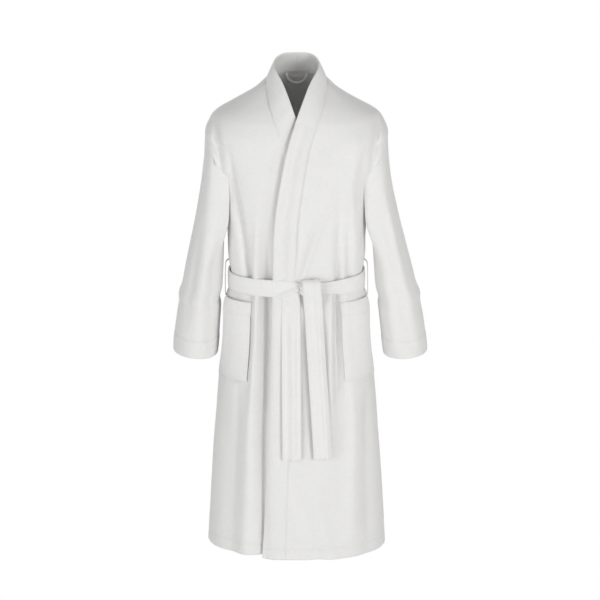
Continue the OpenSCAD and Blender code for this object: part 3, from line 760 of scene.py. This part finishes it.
def beltPinch(x, y):
    if y > 0:
        return 1.0
    if x > belt["knotX"]:
        return lerp(belt["narrowLeft"], 1.0, smooth((x - 0.050) / 0.105))
    return lerp(belt["narrowRight"], 1.0, smooth((0.004 - x) / 0.032))


def beltPlace(u, v):
    angle = 90 + 360 * u
    half, front, rear, square, _ = section(waistZ)
    c, s, e = math.cos(math.radians(angle)), math.sin(math.radians(angle)), 2 / square
    x = math.copysign(half * abs(c) ** e, c)
    y = (rear if s < 0 else -front) * abs(s) ** e
    narrow = beltPinch(x, y)
    rise = belt["riseLeft"] if x > belt["knotX"] else belt["riseRight"]
    return Vector((x, y, waistZ + (0.5 - v) * belt["width"] * narrow + rise * (1 - narrow)))


def beltLift(u, v, p):
    narrow = beltPinch(p.x, p.y)
    lift = belt["stand"] + 0.5 * ripple(p) + 0.0012 * math.sin(math.pi * v)
    crumple = 1 - narrow
    if p.y < 0:
        if p.x > belt["knotX"]:
            lift += crumple * (0.006 * math.cos(2 * math.pi * 1.5 * (v - 0.5)) + 0.004)
        else:
            lift += crumple * (0.004 * math.cos(2 * math.pi * (v - 0.5)))
            # The lower edge turns up towards the knot.
            fold = lerp(0.96, 0.58, smooth((p.x + 0.048) / 0.052))
            here = smooth((p.x + 0.054) / 0.02) * smooth((0.012 - p.x) / 0.01)
            lift += here * ridges(v - fold, belt["turned"])
        lift -= ridges(p.x, belt["dimple"])
    return lift


def beltStitches(left, right, top, bottom):
    return (nearest(belt["edgeStitch"], top, bottom), 1.0)


clothPiece("beltStrip", belt["columns"], belt["rows"], beltPlace, beltLift, beltStitches,
           belt["thickness"], tube=True)

# Inside the knot the belt is wadded up; only its sides show.
knot = {"middle": Vector((0.031, beltFace - 0.007, waistZ + 0.001)), "size": (0.046, 0.022, 0.036),
        "turn": 7.0, "cuts": 7, "roundness": 0.55, "crumple": 0.05}


def wad(name):
    bm = bmesh.new()
    bmesh.ops.create_cube(bm, size=1.0)
    bmesh.ops.subdivide_edges(bm, edges=bm.edges[:], cuts=knot["cuts"], use_grid_fill=True)
    a = math.radians(knot["turn"])
    for vert in bm.verts:
        vert.co = vert.co.lerp(vert.co.normalized() * 0.5, knot["roundness"])
        crease = math.sin(16 * vert.co.z + 5 * vert.co.x) + noise.noise(vert.co * 4)
        vert.co += vert.co.normalized() * knot["crumple"] * crease
        x, y, z = (vert.co[n] * knot["size"][n] for n in range(3))
        vert.co = knot["middle"] + Vector((x * math.cos(a) - z * math.sin(a), y,
                                           x * math.sin(a) + z * math.cos(a)))
    bm.normal_update()
    clothMap, seamMap = bm.loops.layers.uv.new("clothMap"), bm.loops.layers.uv.new("seamMap")
    for face in bm.faces:
        for loop in face.loops:
            loop[clothMap].uv = (loop.vert.co.x + loop.vert.co.y, loop.vert.co.z)
            loop[seamMap].uv = (1.0, 1.0)
    soften(pieceOf(name, bm))


wad("knotWad")

# The tails. Each row: length down the tail, forward of the belt's face, height above its middle.
tail = {"end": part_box("belt_tail_over")[0].z, "width": 0.0470, "thickness": 0.0046,
        "columns": 14, "rows": 74, "overTop": 0.0375, "overEnd": 0.066, "overStand": 0.010,
        "underTop": -0.0145, "underEnd": -0.012, "underTopZ": waistZ - 0.004,
        "overRidges": ((0.74, 0.0040, 0.09), (0.52, -0.0034, 0.10)),
        "underRidges": ((0.27, -0.0036, 0.10), (0.60, 0.0042, 0.13), (0.88, -0.003, 0.08))}
overPath = [(0.000, -0.004, 0.010), (0.014, -0.003, 0.022), (0.024, 0.005, 0.0265),
            (0.034, 0.014, 0.0250), (0.046, 0.020, 0.017), (0.062, 0.021, 0.003),
            (0.078, 0.021, -0.011), (0.094, 0.015, -0.026), (0.110, 0.009, -0.040)]
overStart, overDrop = overPath[-1][0], overPath[-1][2]
overLength = overStart + (waistZ + overDrop - tail["end"])


def overPlace(u, v):
    s = v * overLength
    middle = lerp(tail["overTop"], tail["overEnd"], clamp((s - 0.05) / (overLength - 0.05)))
    x = middle + tail["width"] * (u - 0.5)
    if s < overStart:
        forward, up = through(overPath, s)
        return Vector((x, beltFace - forward, waistZ + up))
    z = waistZ + overDrop - (s - overStart)
    start = beltFace - overPath[-1][1]
    skin = frontY(x, z) - tail["overStand"]
    return Vector((x, lerp(start, skin, smooth((waistZ + overDrop - z) / 0.08)), z))


def overLift(u, v, p):
    s = v * overLength
    hang = smooth((s - overStart + 0.02) / 0.08)
    fold = 0.0
    if p.z < waistZ - 0.03:
        fold = frontOut(lerp(p.x, tail["overTop"], 0.3), p.z) * 0.35 * hang
    curve = 0.0035 * math.sin(math.pi * u) + ridges(u, tail["overRidges"])
    sway = 0.004 * math.sin(7.0 * p.z + 0.8) * hang
    return fold + curve * lerp(0.5, 1.0, hang) + sway + 0.5 * ripple(p)


def underPlace(u, v):
    z = lerp(tail["underTopZ"], tail["end"] - 0.001, v)
    x = lerp(tail["underTop"], tail["underEnd"], v) + tail["width"] * (u - 0.5)
    out = lerp(0.0062, 0.0100, smooth((waistZ - 0.015 - z) / 0.03))
    return Vector((x, frontY(x, z) - out, z))


def underLift(u, v, p):
    hang = smooth(v * 6 - 0.5)
    fold = frontOut(lerp(p.x, tail["underTop"], 0.6), p.z) * 0.4 * hang
    curve = ridges(u, tail["underRidges"])
    return fold + curve * hang + 0.003 * math.sin(8.0 * p.z + 2.0) * hang + 0.5 * ripple(p)


def tailStitches(left, right, top, bottom):
    return (nearest(belt["edgeStitch"], left, right, bottom), 1.0)


for name, place, lift in (("tailOver", overPlace, overLift), ("tailUnder", underPlace, underLift)):
    clothPiece(name, tail["columns"], tail["rows"], place, lift, tailStitches, tail["thickness"],
               flip=True)
print("belt ready")

# Belt loops at the side seams, longer than the belt is wide.
loopTape = {"width": 0.010, "thickness": 0.0016, "stand": 0.0132, "length": 0.094,
            "edgeStitch": 0.0016, "columns": 5, "rows": 40}


def loopPlace(side):
    high, low = section(waistZ + loopHalf)[0], section(waistZ - loopHalf)[0]
    outX = section(waistZ)[0] + loopTape["stand"]
    rows = [(0.0, high, loopHalf), (0.006, high + 0.004, loopHalf + 0.0005),
            (0.016, outX - 0.002, loopHalf - 0.004), (0.026, outX, loopHalf - 0.012),
            (0.070, outX + 0.001, -loopHalf + 0.012), (0.080, outX, -loopHalf + 0.004),
            (0.088, low + 0.004, -loopHalf - 0.0005), (loopTape["length"], low, -loopHalf)]

    def place(u, v):
        x, z = through(rows, v * loopTape["length"])
        return Vector((side * x, loopTape["width"] * (u - 0.5), waistZ + z))
    return place


def loopStitches(left, right, top, bottom):
    return (nearest(loopTape["edgeStitch"], left, right), 1.0)


for side, which in bothSides:
    clothPiece("beltLoop" + which, loopTape["columns"], loopTape["rows"], loopPlace(side), None,
               loopStitches, loopTape["thickness"], flip=side < 0)

# The hanging loop and the blank label inside the back of the neck.
hang = {"radius": 0.028, "tape": 0.006, "thickness": 0.0016, "y": 0.047, "z": 0.008,
        "edgeStitch": 0.0012, "endStitch": 0.004, "columns": 5, "rows": 48}


def hangPlace(u, v):
    a = math.radians(180 + 180 * v)
    r = hang["radius"] - hang["tape"] * (1 - u)
    return Vector((r * math.cos(a), hang["y"] - hang["thickness"] / 2, hang["z"] + r * math.sin(a)))


def hangStitches(left, right, top, bottom):
    return (nearest(hang["edgeStitch"], left, right), min(top, bottom) - hang["endStitch"])


clothPiece("hangLoop", hang["columns"], hang["rows"], hangPlace, None, hangStitches, hang["thickness"])
tag = {"width": 0.044, "height": 0.020, "thickness": 0.0008, "slope": 27.0, "y": 0.053, "low": -0.022,
       "edgeStitch": 0.0012, "waviness": 0.0003, "columns": 22, "rows": 10}


def tagPlace(u, v):
    a = math.radians(tag["slope"])
    x, z = tag["width"] * (u - 0.5), tag["low"] + tag["height"] * (1 - v)
    return Vector((x, tag["y"] - z * math.sin(a), z * math.cos(a)))


def tagStitches(*edges):
    return (nearest(tag["edgeStitch"], *edges), 1.0)


clothPiece("neckLabel", tag["columns"], tag["rows"], tagPlace,
           lambda u, v, p: tag["waviness"] * noise.noise(p * 90), tagStitches, tag["thickness"])
print("small parts ready")

# The parts of model.glb that each piece stands for and, for some pieces, the body it hangs from.
standsFor = {
    "frontLeft": ("front_panel_left", "front_corner_left"), "frontRight": ("front_panel_right",),
    "backCloth": ("back_panel",), "bandLeft": ("collar_band_left", "collar_band_corner"),
    "bandRight": ("collar_band_right",), "hemLeft": ("hem_left", "hem_corner"),
    "hemRight": ("hem_right",), "hemBack": ("hem_back",), "sleeveLeft": ("sleeve_left",),
    "sleeveRight": ("sleeve_right",),
    "cuffLeft": ("cuff_left",), "cuffRight": ("cuff_right",), "pocketLeft": ("pocket_left",),
    "pocketRight": ("pocket_right",), "pocketFacingLeft": ("pocket_facing_left",),
    "pocketFacingRight": ("pocket_facing_right",), "beltStrip": ("belt",), "knotWad": ("belt_knot",),
    "tailOver": ("belt_tail_over",), "tailUnder": ("belt_tail_under",),
    "beltLoopLeft": ("belt_loop_left",), "beltLoopRight": ("belt_loop_right",),
    "hangLoop": ("hanging_loop",), "neckLabel": ("neck_label",),
}
ridesOn = {"cuffLeft": "left_sleeve", "cuffRight": "right_sleeve", "hangLoop": "hanging_loop"}
# Where the cloth bends at each joint: the body it follows, and where its bend starts and ends.
bendRun = {"corner": 0.06, "sleeve": 0.014, "tailTop": 0.008, "tailEnd": 0.053}
cornerHinge = Vector((0.0163, -0.1605, -1.0815))
cornerEnd = cornerHinge + bendRun["corner"] * Vector((-0.777, 0.0, -0.628))
ringOut = Vector((ringHalf.z, 0, -ringHalf.x)).normalized()
bends = {}
for name in ("frontLeft", "bandLeft", "hemLeft"):
    bends[name] = ("front_corner", cornerHinge, cornerEnd)
for side, name, body in ((1, "sleeveLeft", "left_sleeve"), (-1, "sleeveRight", "right_sleeve")):
    start = Vector((side * ringMid.x, 0, ringMid.z))
    bends[name] = (body, start, start + bendRun["sleeve"] * Vector((side * ringOut.x, 0, ringOut.z)))
for name, body in (("tailOver", "tail_over"), ("tailUnder", "tail_under")):
    bends[name] = (body, Vector((0, 0, waistZ - bendRun["tailTop"])),
                   Vector((0, 0, waistZ - bendRun["tailEnd"])))


# Materials. The weave is a fine waffle on the cloth's own map.
def group(name, inputs, outputs):
    tree = bpy.data.node_groups.new(name, "ShaderNodeTree")
    for socketName, value in inputs.items():
        kind = "NodeSocketVector" if value is None else "NodeSocketFloat"
        socket = tree.interface.new_socket(name=socketName, in_out="INPUT", socket_type=kind)
        if value is not None:
            socket.default_value = value
    for socketName in outputs:
        tree.interface.new_socket(name=socketName, in_out="OUTPUT", socket_type="NodeSocketFloat")
    start, end = tree.nodes.new("NodeGroupInput"), tree.nodes.new("NodeGroupOutput")
    return tree, start.outputs, end.inputs


# Adds a node, with each input filled by a value or by another node's output.
def addNode(tree, kind, inputs, **settings):
    node = tree.nodes.new("ShaderNode" + kind)
    for setting, value in settings.items():
        setattr(node, setting, value)
    for key, value in inputs.items():
        if isinstance(value, bpy.types.NodeSocket):
            tree.links.new(value, node.inputs[key])
        else:
            node.inputs[key].default_value = value
    return node.outputs


def calc(tree, operation, *values, clampIt=False):
    return addNode(tree, "Math", dict(enumerate(values)), operation=operation, use_clamp=clampIt)[0]


def scaledBy(tree, vector, size):
    return addNode(tree, "VectorMath", {0: vector, 1: size}, operation="MULTIPLY")["Vector"]


def noiseOf(tree, vector, scale, detail, rough):
    return addNode(tree, "TexNoise", {"Detail": detail, "Roughness": rough, "Vector": vector,
                                      "Scale": scale})["Fac"]


def waveOf(tree, value, cell, kind="COSINE"):
    return calc(tree, kind, calc(tree, "DIVIDE", calc(tree, "MULTIPLY", value, 2 * math.pi), cell))


weaving = {"wobble": 0.0009, "wobbleScale": 220.0, "yarn": 0.0008, "yarnHeight": 0.16,
           "pileScale": 900.0, "pileHeight": 0.9, "slubScale": 330.0, "slubHeight": 0.8,
           "slubStretch": 0.22, "patchScale": 14.0, "pitShade": 0.018, "pileTone": 0.05,
           "rough": 0.82, "pileRough": 0.16}


# Thick and thin places in the yarn, drawn out along each thread.
def slubNoise(tree, vector):
    thin = weaving["slubStretch"]
    both = [noiseOf(tree, scaledBy(tree, vector, stretch), weaving["slubScale"], 2.0, 0.6)
            for stretch in ((1.0, thin, 1.0), (thin, 1.0, 1.0))]
    return calc(tree, "MULTIPLY", calc(tree, "ADD", *both), 0.5)


# Raised squares with sunk middles, loose fibres and a slight unevenness of the yarn.
def weaveGroup():
    tree, given, put = group("clothWeave", {"Map": None, "Place": None, "Cell": 0.0032, "Depth": 1.0,
                                            "Mottle": 0.03}, ("Tint", "Rough", "Height"))
    shaken = addNode(tree, "TexNoise", {"Scale": weaving["wobbleScale"], "Vector": given["Map"]})
    wobble = (weaving["wobble"], weaving["wobble"], 0.0)
    moved = addNode(tree, "VectorMath", {0: shaken["Color"], 1: wobble, 2: given["Map"]},
                    operation="MULTIPLY_ADD")
    parts = addNode(tree, "SeparateXYZ", {0: moved["Vector"]})
    cells = [waveOf(tree, parts[axis], given["Cell"]) for axis in ("X", "Y")]
    ridge = calc(tree, "MAXIMUM", *cells)
    yarn = calc(tree, "MULTIPLY", waveOf(tree, parts["X"], weaving["yarn"]), weaving["yarnHeight"])
    pile = noiseOf(tree, given["Place"], weaving["pileScale"], 3.0, 0.7)
    slubs = slubNoise(tree, given["Map"])
    height = calc(tree, "MULTIPLY_ADD", ridge, 0.5, yarn)
    height = calc(tree, "MULTIPLY_ADD", pile, weaving["pileHeight"], height)
    height = calc(tree, "MULTIPLY_ADD", slubs, weaving["slubHeight"], height)
    tree.links.new(calc(tree, "MULTIPLY", height, given["Depth"]), put["Height"])
    broad = noiseOf(tree, given["Place"], weaving["patchScale"], 3.0, 0.55)
    patch = calc(tree, "SUBTRACT", calc(tree, "ADD", broad, calc(tree, "MULTIPLY", slubs, 3.0)), 2.0)
    # The sunk middles of the squares are painted a little darker: painted shade in the pits.
    pitShade = calc(tree, "MULTIPLY", calc(tree, "SUBTRACT", ridge, 0.4), weaving["pitShade"])
    tone = calc(tree, "MULTIPLY_ADD", patch, given["Mottle"], pitShade)
    fibres = calc(tree, "SUBTRACT", pile, 0.5)
    tone = calc(tree, "MULTIPLY_ADD", fibres, weaving["pileTone"], tone)
    tree.links.new(calc(tree, "ADD", tone, 1.0), put["Tint"])
    rough = calc(tree, "MULTIPLY_ADD", pile, weaving["pileRough"], weaving["rough"], clampIt=True)
    tree.links.new(rough, put["Rough"])
    return tree


sewing = {"length": 0.0034, "thread": 0.00045, "grooveWidth": 0.0016, "puckerAt": 0.003,
          "puckerWidth": 0.0026, "threadHeight": 1.4, "grooveDepth": -1.5, "puckerHeight": 1.5,
          "grooveShade": 0.05}


# A stitched line: its thread, the holes between the stitches, the pucker on either side and painted shade in
# its groove.
def stitchGroup():
    tree, given, put = group("stitchLine", {"Distance": 1.0, "Along": 0.0, "Length": sewing["length"],
                                            "Thread": sewing["thread"]}, ("Mask", "Shade", "Height"))

    def near(distance, width):
        return calc(tree, "SUBTRACT", 1.0, calc(tree, "DIVIDE", distance, width), clampIt=True)
    far = calc(tree, "ABSOLUTE", given["Distance"])
    wave = waveOf(tree, given["Along"], given["Length"], "SINE")
    dash = calc(tree, "MULTIPLY_ADD", wave, 1.6, 0.9, clampIt=True)
    mask = calc(tree, "MULTIPLY", near(far, given["Thread"]), dash)
    groove = near(far, sewing["grooveWidth"])
    groove = calc(tree, "MULTIPLY", groove, groove)
    beside = calc(tree, "ABSOLUTE", calc(tree, "SUBTRACT", far, sewing["puckerAt"]))
    pucker = calc(tree, "MULTIPLY", near(beside, sewing["puckerWidth"]),
                  calc(tree, "MULTIPLY_ADD", wave, 0.25, 0.9))
    height = calc(tree, "MULTIPLY_ADD", mask, sewing["threadHeight"],
                  calc(tree, "MULTIPLY", groove, sewing["grooveDepth"]))
    height = calc(tree, "ADD", height, calc(tree, "MULTIPLY", pucker, sewing["puckerHeight"]))
    tree.links.new(height, put["Height"])
    tree.links.new(mask, put["Mask"])
    # The groove along the line is painted a little darker: painted shade in the groove.
    shade = calc(tree, "SUBTRACT", 1.0, calc(tree, "MULTIPLY", groove, sewing["grooveShade"]))
    tree.links.new(shade, put["Shade"])
    return tree


weave, stitch = weaveGroup(), stitchGroup()


def clothMaterial(name, look):
    material = bpy.data.materials.new(name)
    material.use_nodes = True
    tree = material.node_tree
    shader = tree.nodes["Principled BSDF"].inputs
    clothUv = addNode(tree, "UVMap", {}, uv_map="clothMap")["UV"]
    seamUv = addNode(tree, "UVMap", {}, uv_map="seamMap")["UV"]
    place = addNode(tree, "TexCoord", {})["Object"]
    woven = addNode(tree, "Group", {"Map": clothUv, "Place": place, "Cell": look["cell"],
                                    "Depth": look["depth"], "Mottle": look["mottle"]}, node_tree=weave)
    seamParts, clothParts = (addNode(tree, "SeparateXYZ", {0: uv}) for uv in (seamUv, clothUv))
    along = calc(tree, "ADD", clothParts["X"], clothParts["Y"])
    lines = [addNode(tree, "Group", {"Distance": seamParts[axis], "Along": along}, node_tree=stitch)
             for axis in ("X", "Y")]
    mask = calc(tree, "MAXIMUM", *(line["Mask"] for line in lines))
    shade = calc(tree, "MULTIPLY", *(line["Shade"] for line in lines))
    tone = calc(tree, "MULTIPLY", woven["Tint"], shade)
    toneColour = addNode(tree, "CombineColor", {"Red": tone, "Green": tone, "Blue": tone})["Color"]
    # The cloth's colour times its random mottle, with painted shade in the waffle pits and stitch grooves.
    dyedAndShaded = addNode(tree, "Mix", {"Factor": 1.0, "A": (*look["colour"], 1.0), "B": toneColour},
                   data_type="RGBA", blend_type="MULTIPLY")["Result"]
    sewnOn = addNode(tree, "Mix", {"Factor": mask, "A": dyedAndShaded, "B": (*look["thread"], 1.0)},
                     data_type="RGBA")["Result"]
    tree.links.new(sewnOn, shader["Base Color"])
    tree.links.new(woven["Rough"], shader["Roughness"])
    flat = calc(tree, "MULTIPLY", woven["Height"], calc(tree, "SUBTRACT", 1.0, mask))
    height = calc(tree, "ADD", flat, calc(tree, "ADD", *(line["Height"] for line in lines)))
    relief = addNode(tree, "Bump", {"Strength": look["relief"], "Distance": look["grain"],
                                    "Height": height})
    tree.links.new(relief["Normal"], shader["Normal"])
    shader["Sheen Weight"].default_value = look["sheen"]
    shader["Sheen Roughness"].default_value = look["sheenRough"]
    shader["Specular IOR Level"].default_value = look["shine"]
    return material


white = {"sheenRough": 0.45, "shine": 0.25, "grain": 0.0004}
looks = {
    "robe_cloth": {"colour": (0.86, 0.855, 0.845), "thread": (0.90, 0.90, 0.89), "cell": 0.0032,
                   "depth": 1.0, "mottle": 0.05, "relief": 0.6, "sheen": 0.25, **white},
    "belt_cloth": {"colour": (0.87, 0.865, 0.855), "thread": (0.91, 0.91, 0.90), "cell": 0.0032,
                   "depth": 0.9, "mottle": 0.05, "relief": 0.55, "sheen": 0.25, **white},
    "loop_tape": {"colour": (0.84, 0.835, 0.82), "thread": (0.90, 0.90, 0.89), "cell": 0.0011,
                  "depth": 0.6, "mottle": 0.04, "relief": 0.5, "sheen": 0.15, **white},
    "label_cloth": {"colour": (0.80, 0.80, 0.79), "thread": (0.88, 0.88, 0.87), "cell": 0.0007,
                    "depth": 0.4, "mottle": 0.02, "relief": 0.4, "sheen": 0.1, **white},
}
finishes = {name: clothMaterial(name + "Finish", look) for name, look in looks.items()}
slotOf = {"beltStrip": "belt_cloth", "knotWad": "belt_cloth", "tailOver": "belt_cloth",
          "tailUnder": "belt_cloth", "beltLoopLeft": "loop_tape", "beltLoopRight": "loop_tape",
          "hangLoop": "loop_tape", "neckLabel": "label_cloth"}

for name, nodes in standsFor.items():
    piece = bpy.data.objects[name]
    slotName = slotOf.get(name, "robe_cloth")
    piece.data.materials.append(finishes[slotName])
    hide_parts(*nodes)
    if name in bends:
        child, start, end = bends[name]
        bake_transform(piece, "robe", child, start=tuple(start), end=tuple(end))
    else:
        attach(piece, ridesOn.get(name, "robe"))
print("pieces dressed")

# Studio: a wide pale floor, soft lights and a camera a little above the robe.
studio = {"floorZ": -1.62, "size": 160.0, "paper": 0.86, "rough": 0.9, "air": 0.46,
          "aim": Vector((0.0, 0.0, -0.6))}


# Shows a surface as pure white to the camera only.
def seenWhite(tree, plainShader, surface):
    glowKind = "Emission" if surface == "Material" else "Background"
    glow = addNode(tree, glowKind, {"Color": (1, 1, 1, 1), "Strength": 1.0})[0]
    seen = addNode(tree, "LightPath", {})["Is Camera Ray"]
    mix = addNode(tree, "MixShader", {"Fac": seen, 1: plainShader.outputs[0], 2: glow})[0]
    tree.links.new(mix, tree.nodes[surface + " Output"].inputs["Surface"])


bm = bmesh.new()
bmesh.ops.create_grid(bm, x_segments=4, y_segments=4, size=studio["size"] / 2)
bmesh.ops.translate(bm, verts=bm.verts, vec=(0, 0, studio["floorZ"]))
floorMesh = bpy.data.meshes.new("floor")
bm.to_mesh(floorMesh)
bm.free()
floor = bpy.data.objects.new("floor", floorMesh)
bpy.context.scene.collection.objects.link(floor)
paper = bpy.data.materials.new("floorPaper")
paper.use_nodes = True
paperShader = paper.node_tree.nodes["Principled BSDF"]
paperShader.inputs["Base Color"].default_value = (studio["paper"],) * 3 + (1,)
paperShader.inputs["Roughness"].default_value = studio["rough"]
seenWhite(paper.node_tree, paperShader, "Material")
floor.data.materials.append(paper)
world = bpy.data.worlds.new("studioAir")
world.use_nodes = True
air = world.node_tree.nodes["Background"]
air.inputs["Color"].default_value, air.inputs["Strength"].default_value = (1, 1, 1, 1), studio["air"]
seenWhite(world.node_tree, air, "World")
bpy.context.scene.world = world

lights = [
    ("keyLight", (3.0, -4.4, 0.2), 2.2, 92, (1.0, 0.998, 0.992)),
    ("fillLight", (-3.6, -4.2, -0.2), 3.4, 78, (0.99, 0.995, 1.0)),
    ("backLight", (-0.5, 4.6, 0.8), 3.0, 60, (1.0, 1.0, 1.0)),
]
for name, place, size, power, colour in lights:
    lamp = bpy.data.lights.new(name, "AREA")
    lamp.shape, lamp.size, lamp.energy, lamp.color = "DISK", size, power, colour
    holder = bpy.data.objects.new(name, lamp)
    holder.location = place
    holder.rotation_euler = (studio["aim"] - Vector(place)).to_track_quat("-Z", "Y").to_euler()
    bpy.context.scene.collection.objects.link(holder)
bpy.context.scene.view_settings.view_transform = "Standard"

shot = {"aim": Vector((0.00875, 0.0, -0.5685)), "distance": 20.0, "elevation": 17.5, "lens": 480.0,
        "sensor": 36.0, "far": 200.0}
camera = bpy.data.objects.new("camera", bpy.data.cameras.new("camera"))
camera.data.lens, camera.data.sensor_width = shot["lens"], shot["sensor"]
camera.data.clip_end = shot["far"]
lift = math.radians(shot["elevation"])
toCamera = Vector((0, -math.cos(lift), math.sin(lift)))
camera.location = shot["aim"] + toCamera * shot["distance"]
camera.rotation_euler = toCamera.to_track_quat("Z", "Y").to_euler()
bpy.context.scene.collection.objects.link(camera)
bpy.context.scene.camera = camera
print("studio ready")
